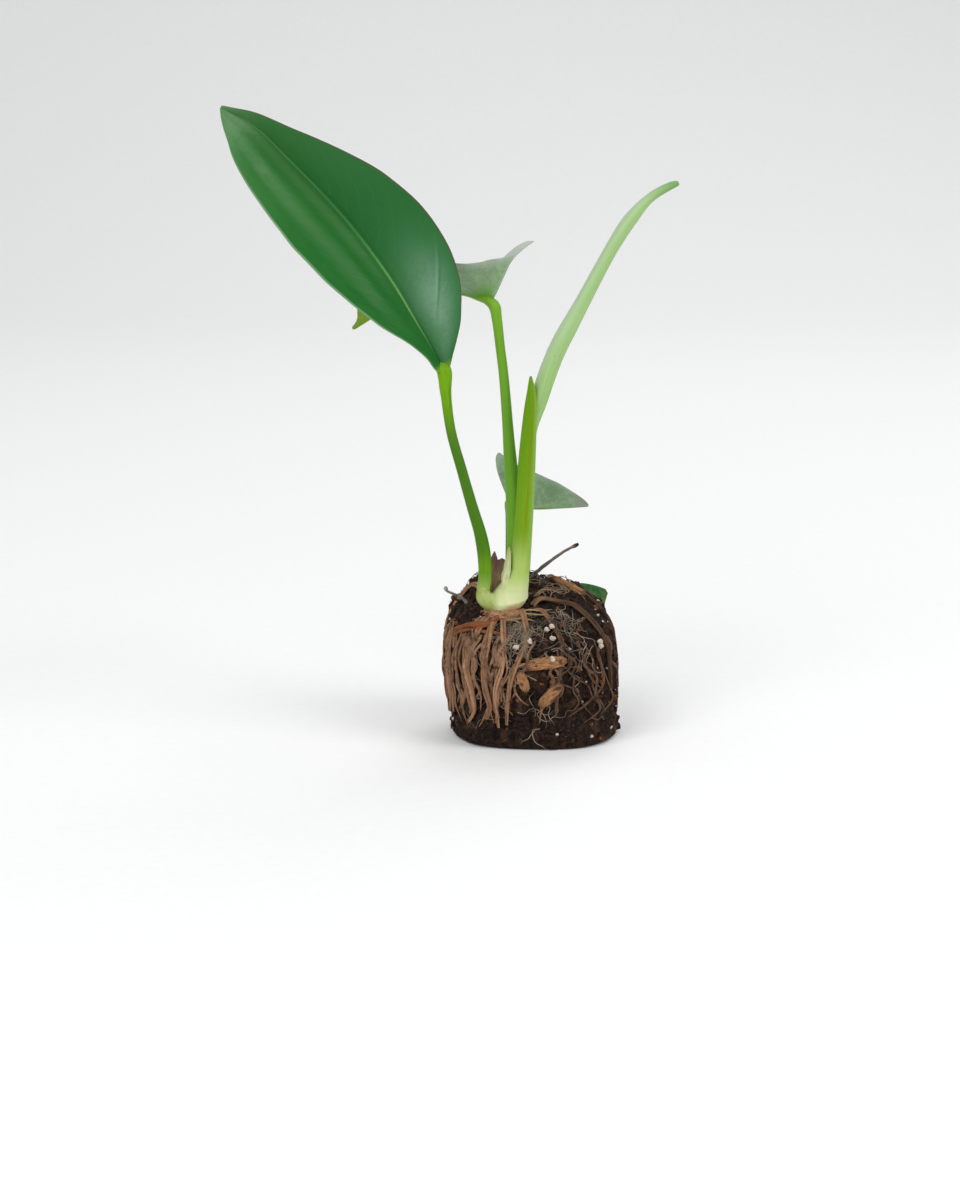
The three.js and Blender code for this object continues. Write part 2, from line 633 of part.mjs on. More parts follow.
// Bark chips: rough wedges with one end lifted, partly sunk into the soil
function chip({ at, along, length, width, thick }, grow = 0) {
  const out = at.clone().sub(CORE).normalize();
  const run = vec(...along).addScaledVector(out, -vec(...along).dot(out)).normalize();
  const side = out.clone().cross(run);
  const stations = [[-0.5, 0.5, 0.6], [-0.3, 0.95, 1], [0.05, 1, 0.9], [0.32, 0.85, 1], [0.5, 0.45, 0.5]];
  const rings = stations.map(([share, wide, deep]) => {
    const middle = at.clone().addScaledVector(run, share * (length + 2 * grow));
    const w = (wide * width) / 2 + grow;
    const d = (deep * thick) / 2 + grow;
    const corners = [[-w, -d], [w, -0.7 * d], [0.8 * w, d], [-0.3 * w, 1.15 * d], [-w, 0.6 * d]];
    return corners.map(([s, o]) => middle.clone().addScaledVector(side, s).addScaledVector(out, o));
  });
  return solid(skin(rings));
}

const chips = [
  { at: onPlug(vec(5, -30, 27.5), 0.5), along: [1, 0, 0.12], length: 12, width: 3.4, thick: 2 },
  { at: onPlug(vec(6.4, -30, 16), 0.5), along: [0.7, 0, 0.75], length: 9, width: 3, thick: 2 },
  { at: onPlug(vec(-3, -30, 21), 0.4), along: [0.35, 0, -1], length: 6.5, width: 2.8, thick: 1.8 },
  { at: onPlug(vec(12.6, 3, 46), 0.6), along: [1, -0.35, -0.45], length: 11, width: 3.6, thick: 2 },
];

// A dry twig stuck in the soil and a loose end of root at the left
const twig = {
  points: [[-0.8, 6.6, 41.5], [0.2, 6, 44.9], [2.8, 4, 48], [6.2, 2, 51.1], [10, 0, 54.2], [13.7, -2, 56.6]],
  radius: [[0, 0.6], [0.5, 0.5], [0.9, 0.45], [1, 0.6]],
  sides: 6,
  steps: 10,
};
const looseRoot = {
  points: [[-18.2, -1.2, 38.4], [-20.6, -2.2, 41], [-22.8, -4, 42.3], [-24.4, -5, 43.3], [-25, -5.3, 44.6]],
  radius: [[0, 0.5], [0.8, 0.4], [1, 0.55]],
  sides: 6,
  steps: 8,
};

// Solids, each cut clear of what it touches

const fatCrown = crownSolid(GAP);
const fatRoots = join(rootsSolid(GAP), rootsSolid(0.4 * GAP)); // both, for the tight bends
const crown = crownSolid();

const sheathBody = cut(stalk(sheath), stalk(rolledLeaf, GAP));
const petiole1Body = cut(stalk(petiole1), fatCrown);
const petiole2Body = cut(stalk(petiole2), fatCrown, stalk(sheath, GAP), stalk(rolledLeaf, GAP));
const petiole3Body = stalk(petiole3);
const petiole4Body = stalk(petiole4);

const leaf1Body = cut(blade(leaf1), stalk(petiole1, GAP));
const leaf2Body = cut(blade(leaf2), stalk(petiole2, GAP));
const leaf3Body = cut(blade(leaf3), stalk(petiole3, GAP), stalk(petiole2, GAP));
const leaf4Body = cut(blade(leaf4), stalk(petiole4, GAP));

const cataphyll1Body = cut(blade(cataphyll1), fatCrown, stalk(petiole2, GAP), stalk(sheath, GAP));
const cataphyll2Body = cut(blade(cataphyll2), fatCrown, stalk(petiole2, GAP), stalk(petiole1, GAP));
const chipBodies = chips.map((one) => cut(chip(one), fatRoots));
const rootsBody = cut(rootsSolid(), fatCrown, stalk(petiole3, GAP), stalk(looseRoot, GAP));
const looseBody = stalk(looseRoot);
const twigBody = stalk(twig);

const soil = cut(
  join(soilBody(), ...grains(CRUMB_COUNT, 11, 0.9, 1.7), ...grains(PERLITE_COUNT, 5, 0.6, 1.2)),
  fatCrown,
  fatRoots,
  stalk(petiole3, GAP),
  stalk(petiole4, GAP),
  stalk(petiole2, GAP),
  blade(leaf4, GAP),
  blade(cataphyll1, GAP),
  blade(cataphyll2, GAP),
  stalk(twig, GAP),
  stalk(looseRoot, GAP),
  ...chips.map((one) => chip(one, GAP)),
);

// Scene

const plant = new THREE.Group();
plant.name = 'dragon_tail_plant';

function add(name, body, colour, roughness) {
  const material = new THREE.MeshStandardMaterial({ color: colour, roughness, metalness: 0 });
  const mesh = new THREE.Mesh(geometryOf(tidied(body)), material);
  mesh.name = name;
  plant.add(mesh);
}

const DEEP_GREEN = '#286a35';
const PALE_GREEN = '#7d9f79';
const STALK_GREEN = '#5f9a1f';
const ROLL_GREEN = '#a8c692';
const CREAM = '#cdd790';
const SOIL_BROWN = '#3f322a';
const ROOT_BROWN = '#8a6450';
const BARK_BROWN = '#9a7350';

add('soil_plug', soil, SOIL_BROWN, 0.95);
add('roots', rootsBody, ROOT_BROWN, 0.85);
add('crown', crown, CREAM, 0.5);
add('petiole_1', petiole1Body, STALK_GREEN, 0.45);
add('leaf_1', leaf1Body, DEEP_GREEN, 0.35);
add('petiole_2', petiole2Body, STALK_GREEN, 0.45);
add('leaf_2', leaf2Body, PALE_GREEN, 0.5);
add('petiole_3', petiole3Body, STALK_GREEN, 0.45);
add('leaf_3', leaf3Body, PALE_GREEN, 0.5);
add('petiole_4', petiole4Body, STALK_GREEN, 0.5);
add('leaf_4', leaf4Body, DEEP_GREEN, 0.45);
add('sheath', sheathBody, STALK_GREEN, 0.45);
add('new_leaf', stalk(rolledLeaf), ROLL_GREEN, 0.4);
add('cataphyll_1', cataphyll1Body, CREAM, 0.6);
add('cataphyll_2', cataphyll2Body, ROOT_BROWN, 0.9);
add('twig', twigBody, SOIL_BROWN, 0.9);
add('loose_root', looseBody, ROOT_BROWN, 0.85);
chipBodies.forEach((body, i) => add(`bark_chip_${i + 1}`, body, BARK_BROWN, 0.9));

export default plant;
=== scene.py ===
"""Young dragon tail plant lifted out of its pot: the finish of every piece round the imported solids.

Shapes are worked out in millimetres, +Z up, the front at -Y, and go into the meshes in metres.
A piece that stands for a solid follows the same lines as that solid, only finer.
"""

import math

import bmesh
import bpy
import numpy as np
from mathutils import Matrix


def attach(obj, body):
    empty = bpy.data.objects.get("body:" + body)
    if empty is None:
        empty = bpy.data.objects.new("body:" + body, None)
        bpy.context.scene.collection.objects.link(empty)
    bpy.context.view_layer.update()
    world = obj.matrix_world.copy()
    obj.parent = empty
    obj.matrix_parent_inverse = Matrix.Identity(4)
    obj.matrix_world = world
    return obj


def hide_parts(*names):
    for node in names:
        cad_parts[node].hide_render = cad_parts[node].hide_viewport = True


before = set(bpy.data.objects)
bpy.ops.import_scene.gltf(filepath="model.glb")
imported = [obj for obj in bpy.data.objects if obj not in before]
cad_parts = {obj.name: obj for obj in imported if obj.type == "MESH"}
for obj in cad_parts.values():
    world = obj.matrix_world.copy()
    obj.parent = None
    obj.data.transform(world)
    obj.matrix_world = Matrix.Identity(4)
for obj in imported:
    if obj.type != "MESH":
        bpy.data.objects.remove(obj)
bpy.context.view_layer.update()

MM = 0.001


# Soil plug
# Potting soil of peat, bark and perlite, pressed by a small square-shouldered pot and held together
# by the roots. It is dark and crumbly, its top tilted to the front and heaped up at the left.

PLUG_PROFILE = [[0, 20.5], [0.8, 22.6], [4, 23.4], [10, 23.9], [18, 24.4], [26, 24.8], [31, 24.2],
                [34.5, 22.8], [37.5, 20.2], [40, 17], [41.8, 13], [43, 8.5], [43.6, 4], [43.8, 0]]
PLUG_TOP = 43.8
PLUG_SQUARENESS = 2.4
RIGHT_SPREAD = 0.12
LEFT_SLOPE = 0.1
LUMP = 1.5
CORE = np.array([0.0, 0.0, 21.0])


def through(stops, t):
    """Monotone cubic through [position, value] stops: the slope at a stop is the weighted harmonic
    mean of the slopes beside it, or 0 where they differ in sign."""
    x, y = np.array(stops, float).T
    gap = np.diff(x)
    slope = np.diff(y) / gap
    before, after = slope[:-1], slope[1:]
    same = before * after > 0
    w0, w1 = 2 * gap[1:] + gap[:-1], gap[1:] + 2 * gap[:-1]
    inner = np.where(same, (w0 + w1) / (w0 / np.where(same, before, 1) + w1 / np.where(same, after, 1)), 0)
    tangent = np.concatenate([slope[:1], inner, slope[-1:]])
    i = np.clip(np.searchsorted(x, t, side="left") - 1, 0, len(gap) - 1)
    s = np.clip((t - x[i]) / gap[i], 0, 1)
    rise = (s ** 3 - 2 * s ** 2 + s) * tangent[i] + (s ** 3 - s ** 2) * tangent[i + 1]
    return (2 * s ** 3 - 3 * s ** 2 + 1) * y[i] + (3 * s ** 2 - 2 * s ** 3) * y[i + 1] + rise * gap[i]


def smooth(x, low, high):
    """Smoothstep: 0 below low, 1 above high, 3s^2 - 2s^3 between."""
    s = np.clip((x - low) / (high - low), 0, 1)
    return s * s * (3 - 2 * s)


def speck(cell):
    """Fixed random value from 0 to 1 at each whole-numbered point, by 32-bit products and shifts."""
    x, y, z = np.moveaxis(cell.astype(np.int64).astype(np.uint32), -1, 0)
    h = x * np.uint32(374761393) ^ y * np.uint32(668265263) ^ z * np.uint32(1274126177)
    h = (h ^ h >> np.uint32(13)) * np.uint32(1103515245)
    return (h ^ h >> np.uint32(16)) / 2 ** 32


def noise(points, size):
    """Smooth noise from -1 to 1: the eight specks round each point, blended by smoothstep."""
    cell = np.floor(points / size)
    f = points / size - cell
    f = f * f * (3 - 2 * f)
    total = 0
    for corner in np.ndindex(2, 2, 2):
        weight = np.prod(np.where(corner, f, 1 - f), axis=-1)
        total = total + weight * speck(cell + corner)
    return 2 * total - 1


def unit(v):
    """Vectors scaled to length 1."""
    return v / np.linalg.norm(v, axis=-1, keepdims=True)


def plug_tilt(x, y):
    """Rise of the plug's top: a slope to the back, a slope at the left and a heap, a Gauss bell."""
    heap = 2.6 * np.exp(-((x + 13) ** 2 + (y - 5) ** 2) / 34)
    return 0.22 * y + 0.22 * np.maximum(0, -x - 6) + heap


def side_lean(x, y, height):
    """Reach as a share of the profile's: both sides lean in towards the top, the left at its shoulder."""
    foot = RIGHT_SPREAD * np.maximum(0, x) * (1 - height / 25)
    shoulder = LEFT_SLOPE * np.maximum(0, -x) * smooth(height, 22, 42)
    return 1 + (foot - shoulder) / np.hypot(x, y)


def lump(p):
    """The large lumps of the soil: two sizes of noise."""
    return LUMP * noise(p, 7.3) + 0.55 * LUMP * noise(p, 3.4)


def crumble(p):
    """The fine crumbs between them: ridges where noise crosses zero, at three sizes, sunk so that
    their tops are level with the solid."""
    sizes = ((2.6, 0.8), (1.3, 0.6), (0.7, 0.4))
    return sum(depth * (0.3 - np.abs(noise(p, size))) for size, depth in sizes) + 0.2 * noise(p, 0.45) - 0.35


def plug_surface(height, angle):
    """Point of the soil at a height of the profile and an angle: a superellipse of the profile's
    half width, tilted, then pushed out from the core by the lumps and the crumbs."""
    half = through(PLUG_PROFILE, height)
    k = PLUG_SQUARENESS
    reach = half * (np.abs(np.cos(angle)) ** k + np.abs(np.sin(angle)) ** k) ** (-1 / k)
    reach = reach * side_lean(np.cos(angle), np.sin(angle), height)
    x, y = reach * np.cos(angle), reach * np.sin(angle)
    p = np.stack([x, y, height + plug_tilt(x, y) * smooth(height, 14, 36)], -1)
    push = lump(p) * smooth(height, 0.2, 3) + crumble(p) * smooth(height, 0.3, 1.6)
    return p + unit(p - CORE) * push[..., None]


def skin(grid, place):
    """Closed body over rings of points: two triangles a cell and a fan from each end's middle."""
    rows, sides = grid.shape[:2]
    a = np.arange(rows * sides).reshape(rows, sides)
    b = np.roll(a, -1, axis=1)
    first, last = rows * sides, rows * sides + 1
    faces = [np.stack([a[:-1], b[:-1], b[1:]], -1), np.stack([a[:-1], b[1:], a[1:]], -1),
             np.stack([np.full(sides, first), b[0], a[0]], -1),
             np.stack([np.full(sides, last), a[-1], b[-1]], -1)]
    ends = np.stack([grid[0].mean(0), grid[-1].mean(0)])
    end_place = np.stack([place[0].mean(0), place[-1].mean(0)])
    return (np.concatenate([grid.reshape(-1, 3), ends]), np.concatenate([f.reshape(-1, 3) for f in faces]),
            np.concatenate([place.reshape(-1, 3), end_place]))


def piece(name, bodies, material, crease=60):
    """One object of closed bodies (points in mm, triangles, place), their arrays end to end, with
    nothing below the floor. The attribute "place" says where a point lies on its piece, for the
    material to read."""
    starts = np.cumsum([0] + [len(points) for points, _, _ in bodies])
    points = np.maximum(np.concatenate([body[0] for body in bodies]), [-np.inf, -np.inf, 0]) * MM
    faces = np.concatenate([body[1] + start for body, start in zip(bodies, starts)])
    mesh = bpy.data.meshes.new(name)
    mesh.vertices.add(len(points))
    mesh.loops.add(faces.size)
    mesh.polygons.add(len(faces))
    mesh.vertices.foreach_set("co", points.astype(np.float32).ravel())
    mesh.loops.foreach_set("vertex_index", faces.astype(np.int32).ravel())
    mesh.polygons.foreach_set("loop_start", np.arange(0, faces.size, 3, dtype=np.int32))
    mesh.update(calc_edges=True)
    lie = mesh.attributes.new("place", "FLOAT_VECTOR", "POINT")
    lie.data.foreach_set("vector", np.concatenate([body[2] for body in bodies]).astype(np.float32).ravel())
    mesh.shade_smooth()
    mesh.set_sharp_from_angle(angle=math.radians(crease))
    mesh.materials.append(material)
    obj = bpy.data.objects.new(name, mesh)
    bpy.context.scene.collection.objects.link(obj)
    return obj


STUDIO_GAIN = 0.88


def srgb(*colour):
    """A colour as seen, 0 to 255, as the linear value that a shader takes, less the studio's gain."""
    c = np.array(colour) / 255
    return (*np.where(c <= 0.04045, c / 12.92, ((c + 0.055) / 1.055) ** 2.4) * STUDIO_GAIN, 1.0)


class Finish:
    """The nodes of a material or of a group, with a short call for each kind that the plant needs."""

    def __init__(self, tree):
        self.tree = tree

    def node(self, kind, inputs, **settings):
        made = self.tree.nodes.new("ShaderNode" + kind)
        for key, value in settings.items():
            setattr(made, key, value)
        for key, value in inputs.items():
            if isinstance(value, bpy.types.NodeSocket):
                self.tree.links.new(value, made.inputs[key])
            else:
                made.inputs[key].default_value = value
        return made

    def spot(self):
        return self.node("TexCoord", {}).outputs["Object"]

    def place(self):
        made = self.node("Attribute", {}, attribute_name="place")
        parts = self.node("SeparateXYZ", {0: made.outputs["Vector"]})
        return made.outputs["Vector"], *parts.outputs

    def stretched(self, vector, scale):
        return self.node("Mapping", {"Vector": vector, "Scale": scale}).outputs[0]

    def cloud(self, vector, scale, detail=3.0, rough=0.55):
        inputs = {"Vector": vector, "Scale": scale, "Detail": detail, "Roughness": rough}
        return self.node("TexNoise", inputs).outputs["Fac"]

    def step(self, value, low, high):
        inputs = {"Value": value, "From Min": low, "From Max": high}
        return self.node("MapRange", inputs, interpolation_type="SMOOTHSTEP").outputs[0]

    def calc(self, operation, a, b=0.0):
        return self.node("Math", {0: a, 1: b}, operation=operation).outputs[0]

    def times(self, a, b):
        return self.calc("MULTIPLY", a, b)

    def bell(self, value, centre, width):
        """A Gauss bell: e to minus the square of the value's distance from the centre in widths."""
        off = self.calc("DIVIDE", self.calc("SUBTRACT", value, centre), width)
        return self.calc("EXPONENT", self.times(self.times(off, off), -1.0))

    def mix(self, amount, a, b):
        return self.node("Mix", {0: amount, 6: a, 7: b}, data_type="RGBA").outputs[2]

    def bump(self, height, distance, strength=1.0):
        inputs = {"Height": height, "Distance": distance * MM, "Strength": strength}
        return self.node("Bump", inputs).outputs[0]


def finish_material(name, build, **constants):
    """A material whose build(finish) gives the sockets that vary, by input name, round one
    Principled shader with its constant inputs set on it."""
    material = bpy.data.materials.new(name)
    material.use_nodes = True
    finish = Finish(material.node_tree)
    shader = material.node_tree.nodes["Principled BSDF"]
    sockets = {socket.name.lower().replace(" ", "_"): socket for socket in shader.inputs}
    for key, value in {"specular_ior_level": 0.12, **constants}.items():
        sockets[key].default_value = value
    for key, socket in build(finish).items():
        material.node_tree.links.new(socket, shader.inputs[key])
    return material


def damp_soil(f):
    """Near black in the hollows, dark brown on the lumps, with warmer patches and pale specks."""
    spot = f.spot()
    coarse, middling, fine = f.cloud(spot, 260.0), f.cloud(spot, 800.0, 4.0), f.cloud(spot, 2600.0)
    colour = f.mix(f.step(middling, 0.4, 0.62), srgb(22, 17, 14), srgb(52, 38, 31))
    colour = f.mix(f.step(coarse, 0.5, 0.68), colour, srgb(70, 48, 34))
    colour = f.mix(f.step(fine, 0.64, 0.72), colour, srgb(118, 96, 78))
    relief = f.calc("ADD", middling, f.times(fine, 0.4))
    return {"Base Color": colour, "Roughness": f.step(middling, 0.1, 0.55),
            "Normal": f.bump(relief, 0.5, 0.8)}


PLUG_COLUMNS = 400
PLUG_ROWS = 215
heights = np.interp(np.linspace(0, 1, PLUG_ROWS), [0, 0.03, 0.55, 0.78, 0.92, 1], [0, 0.8, 31, 40, 43, 43.77])
angles = 2 * np.pi * np.arange(PLUG_COLUMNS) / PLUG_COLUMNS
plug_grid = plug_surface(*np.meshgrid(heights, angles, indexing="ij"))
soil = piece("potting_soil", [skin(plug_grid, plug_grid / 50)],
             finish_material("damp_soil", damp_soil), crease=180)
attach(soil, "root")
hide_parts("soil_plug")


# Soil crumbs
# Loose bits of peat, bark and rotted leaf that stick out of the plug on all sides, each a few
# tenths of a millimetre to three millimetres across.

CRUMB_COUNT = 1500


def round_seed(subdivisions):
    """Points and triangles of a ball of radius 1."""
    ball = bmesh.new()
    bmesh.ops.create_icosphere(ball, subdivisions=subdivisions, radius=1)
    points = np.array([v.co for v in ball.verts])
    faces = np.array([[v.index for v in face.verts] for face in ball.faces])
    ball.free()
    return points, faces


def turned(count, random):
    """Random rotations: the orthogonal factor of random matrices, made right-handed."""
    turn = np.linalg.qr(random.normal(size=(count, 3, 3)))[0]
    turn[:, :, 0] *= np.linalg.det(turn)[:, None]
    return turn


def scatter(centres, radii, flatness, tone, random, rough=0.3):
    """Rough grains round their centres: a ball made uneven by noise, squashed, turned and moved."""
    ball, triangles = round_seed(2)
    count = len(centres)
    uneven = 1 + rough * noise(ball[None] * 1.7 + 40 * random.random((count, 1, 3)), 1.0)
    shape = ball[None] * uneven[..., None] * radii[:, None, None] * flatness[:, None]
    points = np.einsum("nij,nvj->nvi", turned(count, random), shape) + centres[:, None]
    faces = triangles[None] + len(ball) * np.arange(count)[:, None, None]
    place = np.broadcast_to(tone[:, None], points.shape)
    return points.reshape(-1, 3), faces.reshape(-1, 3), place.reshape(-1, 3)


def crumb_finish(f):
    """Each crumb in its own tone, a few of them rust-brown, all with dark fibres."""
    _, tone, warm, _ = f.place()
    spot = f.spot()
    fibre = f.cloud(spot, 1500.0, 4.0)
    colour = f.mix(f.step(tone, 0.25, 0.95), srgb(20, 15, 13), srgb(74, 55, 44))
    colour = f.mix(f.step(warm, 0.72, 0.9), colour, srgb(132, 82, 50))
    colour = f.mix(f.step(fibre, 0.45, 0.7), colour, srgb(42, 32, 27))
    return {"Base Color": colour, "Normal": f.bump(fibre, 0.4, 0.8)}


random = np.random.default_rng(11)
crumb_height = 1.6 + 42 * random.random(CRUMB_COUNT) ** 0.85
crumb_angle = 2 * np.pi * random.random(CRUMB_COUNT)
crumb_radius = 0.28 + 1.0 * random.random(CRUMB_COUNT) ** 3
crumb_flat = np.stack([np.ones(CRUMB_COUNT), 0.5 + 0.4 * random.random(CRUMB_COUNT),
                       0.35 + 0.4 * random.random(CRUMB_COUNT)], -1)
crumbs = piece("soil_crumbs", [scatter(plug_surface(crumb_height, crumb_angle), crumb_radius, crumb_flat,
                                       random.random((CRUMB_COUNT, 3)), random)],
               finish_material("crumbs", crumb_finish, roughness=0.92))
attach(crumbs, "root")


# Perlite
# White grains of puffed volcanic glass mixed into the soil to keep it airy. The first ones are the
# grains seen in front, the rest are strewn over the plug.

PERLITE_IN_FRONT = [[5.4, -24, 38.6], [7.6, -24, 40], [-0.6, -24, 32.9], [-4.6, -24, 30.9],
                    [6.6, -24, 34.1], [5.7, -24, 27.4], [25, -19, 33], [24.4, -19, 31.2]]
PERLITE_STREWN = 60
FRONT_GRAIN = 0.92


def plug_holds(p):
    """True inside the plug's form before its lumps: the superellipse test at the untilted height."""
    height = p[:, 2] - plug_tilt(p[:, 0], p[:, 1]) * smooth(p[:, 2], 16, 37)
    half = through(PLUG_PROFILE, height) * side_lean(p[:, 0], p[:, 1], height)
    k = PLUG_SQUARENESS
    inside = np.abs(p[:, 0]) ** k + np.abs(p[:, 1]) ** k < half ** k
    return inside & (height > 0) & (height < PLUG_TOP)


def on_plug(guides, lift=0.0, lumpy=True):
    """Points of the plug straight out from its core through guide points, by halving the span that
    holds the surface, raised by the lumps and a lift."""
    ray = unit(np.atleast_2d(np.array(guides, float)) - CORE)
    near, far = np.zeros(len(ray)), np.full(len(ray), 60.0)
    for _ in range(24):
        half = (near + far) / 2
        inside = plug_holds(CORE + ray * half[:, None])
        near, far = np.where(inside, half, near), np.where(inside, far, half)
    p = CORE + ray * near[:, None]
    raised = lump(p) * smooth(p[:, 2], 0.2, 3) if lumpy else np.zeros(len(p))
    return p + ray * (raised + lift)[:, None]


def perlite_finish(f):
    """Off-white with darker pores."""
    pores = f.cloud(f.spot(), 3500.0, 2.0)
    colour = f.mix(f.step(pores, 0.35, 0.6), srgb(176, 158, 138), srgb(232, 220, 208))
    return {"Base Color": colour, "Normal": f.bump(pores, 0.35, 0.9)}


random = np.random.default_rng(5)
strewn = plug_surface(3 + 39 * random.random(PERLITE_STREWN), 2 * np.pi * random.random(PERLITE_STREWN))
grains = np.concatenate([on_plug(PERLITE_IN_FRONT, 0.5), strewn])
grain_radius = np.concatenate([np.full(len(PERLITE_IN_FRONT), FRONT_GRAIN),
                               0.3 + 0.45 * random.random(PERLITE_STREWN)])
grain_flat = np.broadcast_to([1, 0.85, 0.75], grains.shape)
perlite = piece("perlite", [scatter(grains, grain_radius, grain_flat, np.ones_like(grains), random, 0.4)],
                finish_material("perlite_white", perlite_finish, roughness=0.85))
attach(perlite, "root")


# Roots
# Brown roots as thick as string. They leave a collar under the crown, cross the rim of the plug and
# run down its side, most of them in one bundle at the left of the front.

COLLAR_AT = np.array([-7.8, -9.6, 37.6])
FRONT = (0, -1, 0)


def route(points, t):
    """Points and directions at shares t of the length of a centripetal Catmull-Rom curve."""
    p = np.array(points, float)
    p = np.vstack([2 * p[0] - p[1], p, 2 * p[-1] - p[-2]])
    d = np.sqrt(np.linalg.norm(np.diff(p, axis=0), axis=1))[:, None]
    d0, d1, d2 = d[:-2], d[1:-1], d[2:]
    x0, x1, x2, x3 = p[:-3], p[1:-2], p[2:-1], p[3:]
    m1 = ((x1 - x0) / d0 - (x2 - x0) / (d0 + d1) + (x2 - x1) / d1) * d1
    m2 = ((x2 - x1) / d1 - (x3 - x1) / (d1 + d2) + (x3 - x2) / d2) * d1
    s = (np.arange(80) / 80)[None, :, None]
    x1, x2, m1, m2 = (v[:, None] for v in (x1, x2, m1, m2))
    dense = ((2 * s ** 3 - 3 * s ** 2 + 1) * x1 + (s ** 3 - 2 * s ** 2 + s) * m1
             + (3 * s ** 2 - 2 * s ** 3) * x2 + (s ** 3 - s ** 2) * m2).reshape(-1, 3)
    dense = np.vstack([dense, p[-2]])
    length = np.concatenate([[0], np.cumsum(np.linalg.norm(np.diff(dense, axis=0), axis=1))])
    heading = np.gradient(dense, length, axis=0)
    at = np.stack([np.interp(t * length[-1], length, axis) for axis in dense.T], -1)
    along = np.stack([np.interp(t * length[-1], length, axis) for axis in heading.T], -1)
    return at, unit(along)


def frames(points, t, facing):
    """Places, directions, outward and sideways vectors along a route: outward is the reference made
    square to the direction, sideways their cross product."""
    at, along = route(points, t)
    reference = np.broadcast_to(np.array(facing, float), at.shape)
    out = unit(reference - along * np.sum(reference * along, -1, keepdims=True))
    return at, along, out, np.cross(along, out)


def tube(points, radius, rows, sides, facing=FRONT, depth=1.0, form=None, strand=0):
    """Closed tube: at share t and angle a, the route's point plus radius(t) times form(t, a) times
    sin a sideways and depth cos a outward. Its place is (sin a, cos a, strand + t)."""
    t, a = np.meshgrid(np.linspace(0, 1, rows), 2 * np.pi * np.arange(sides) / sides, indexing="ij")
    at, _, out, side = frames(points, t[:, 0], facing)
    r = through(radius, t) * (form(t, a) if form else 1)
    sideways = (r * np.sin(a))[..., None] * side[:, None]
    outward = (r * depth * np.cos(a))[..., None] * out[:, None]
    return skin(at[:, None] + sideways + outward, np.stack([np.sin(a), np.cos(a), strand + 0.98 * t], -1))


def swellings(depth, lengthwise, crosswise=1.0, first=0.0):
    """Uneven width of a strand: 1 plus depth times noise over the place on it, with so many lumps
    lengthwise and so many crosswise, the noise read from first on."""
    return lambda t, a: 1 + depth * noise(
        np.stack([crosswise * np.sin(a), crosswise * np.cos(a), lengthwise * t + first], -1), 1.0)


def draws(seed):
    """Repeatable random numbers from 0 to 1, by 32-bit products and shifts."""
    full = 0xFFFFFFFF
    while True:
        seed = (seed + 0x6D2B79F5) & full
        r = (seed ^ seed >> 15) * (1 | seed) & full
        r = (r + ((r ^ r >> 7) * (61 | r) & full) & full) ^ r
        yield (r ^ r >> 14) / 2 ** 32


def root(guides, thick, number):
    """Three thin roots wound loosely round one another, from under the collar's rim over guide
    points on the plug: each keeps half a width off the shared route at an angle that turns with
    the way along it, and is made knotty by noise."""
    points = on_plug(guides, thick * 0.75 - 0.35, lumpy=False)
    away = math.atan2(points[0][1] - COLLAR_AT[1], points[0][0] - COLLAR_AT[0])
    rim = COLLAR_AT + [6.9 * math.cos(away), 5.9 * math.sin(away), -0.6]
    start = COLLAR_AT + [2 * math.cos(away), 2 * math.sin(away), -1.8]
    facing = unit(points[0] - CORE) + [0, 0, 0.01]
    share = np.linspace(0, 1, 18)
    at, _, out, side = frames([start, rim, *points], share, facing)
    size = through([[0, thick * 0.8], [0.15, thick], [0.7, thick * 0.85], [1, thick * 0.55]], share)[:, None]
    strands = []
    for k in range(3):

        def knots(t, a, first=17 * number + 5 * k):
            along = np.stack([2 * np.sin(a), 2 * np.cos(a), 22 * t + first], -1)
            return 1 + 0.16 * noise(along, 1.0) + 0.1 * noise(along * [2.2, 2.2, 5], 1.0)

        turn = (2.1 * k + number + 5 * share)[:, None]
        offset = 0.62 * size * (np.cos(turn) * side + 0.45 * np.sin(turn) * out)
        thin = thick * (0.56 - 0.06 * k)
        strands.append(tube(at + offset, [[0, thin * 0.8], [0.15, thin], [0.7, thin * 0.9], [1, thin * 0.4]],
                            120, 9, facing, 0.85, knots, 3 * number + k))
    return strands


def around(angle, z):
    """A guide point well outside the plug at an angle and a height."""
    return [30 * math.cos(angle), 30 * math.sin(angle), z]


def bundle():
    """The strands at the left of the front, side by side."""
    draw = draws(7)
    count = 7
    strands = []
    for i in range(count):
        a = math.radians(188 + 60 * i / (count - 1))
        bend = math.radians(-4 + 8 * next(draw))
        low = 3.5 + 5.5 * next(draw)
        wander = [math.radians(-4 + 8 * next(draw)) for _ in range(3)]
        guides = [around(a + bend * 0.3, 35), around(a + bend, 26), around(a + wander[0], 17),
                  around(a + wander[1], low + 4), around(a + wander[2], low)]
        strands += root(guides, 0.85 + 0.3 * next(draw), i)
    return strands


def scattered():
    """The single strands that cross the front and go round the other sides."""
    draw = draws(23)
    strands = []
    for i, angle in enumerate((266, 292, 330, 12, 90, 132, 168)):
        a = math.radians(angle)
        drift = math.radians(-16 + 32 * next(draw))
        low = 4 + 12 * next(draw)
        shares = (0.7,) if i < 2 else (0.4, 0.7, 0.95)
        across = [[COLLAR_AT[0] + (19 * math.cos(a) - COLLAR_AT[0]) * share,
                   COLLAR_AT[1] + (19 * math.sin(a) - COLLAR_AT[1]) * share, 44] for share in shares]
        side = [around(a + drift * share, z) for share, z in ((0, 36), (0.4, 28), (0.8, 20), (1, low))]
        strands += root(across + side, 0.7 + 0.3 * next(draw), 10 + i)
    return strands


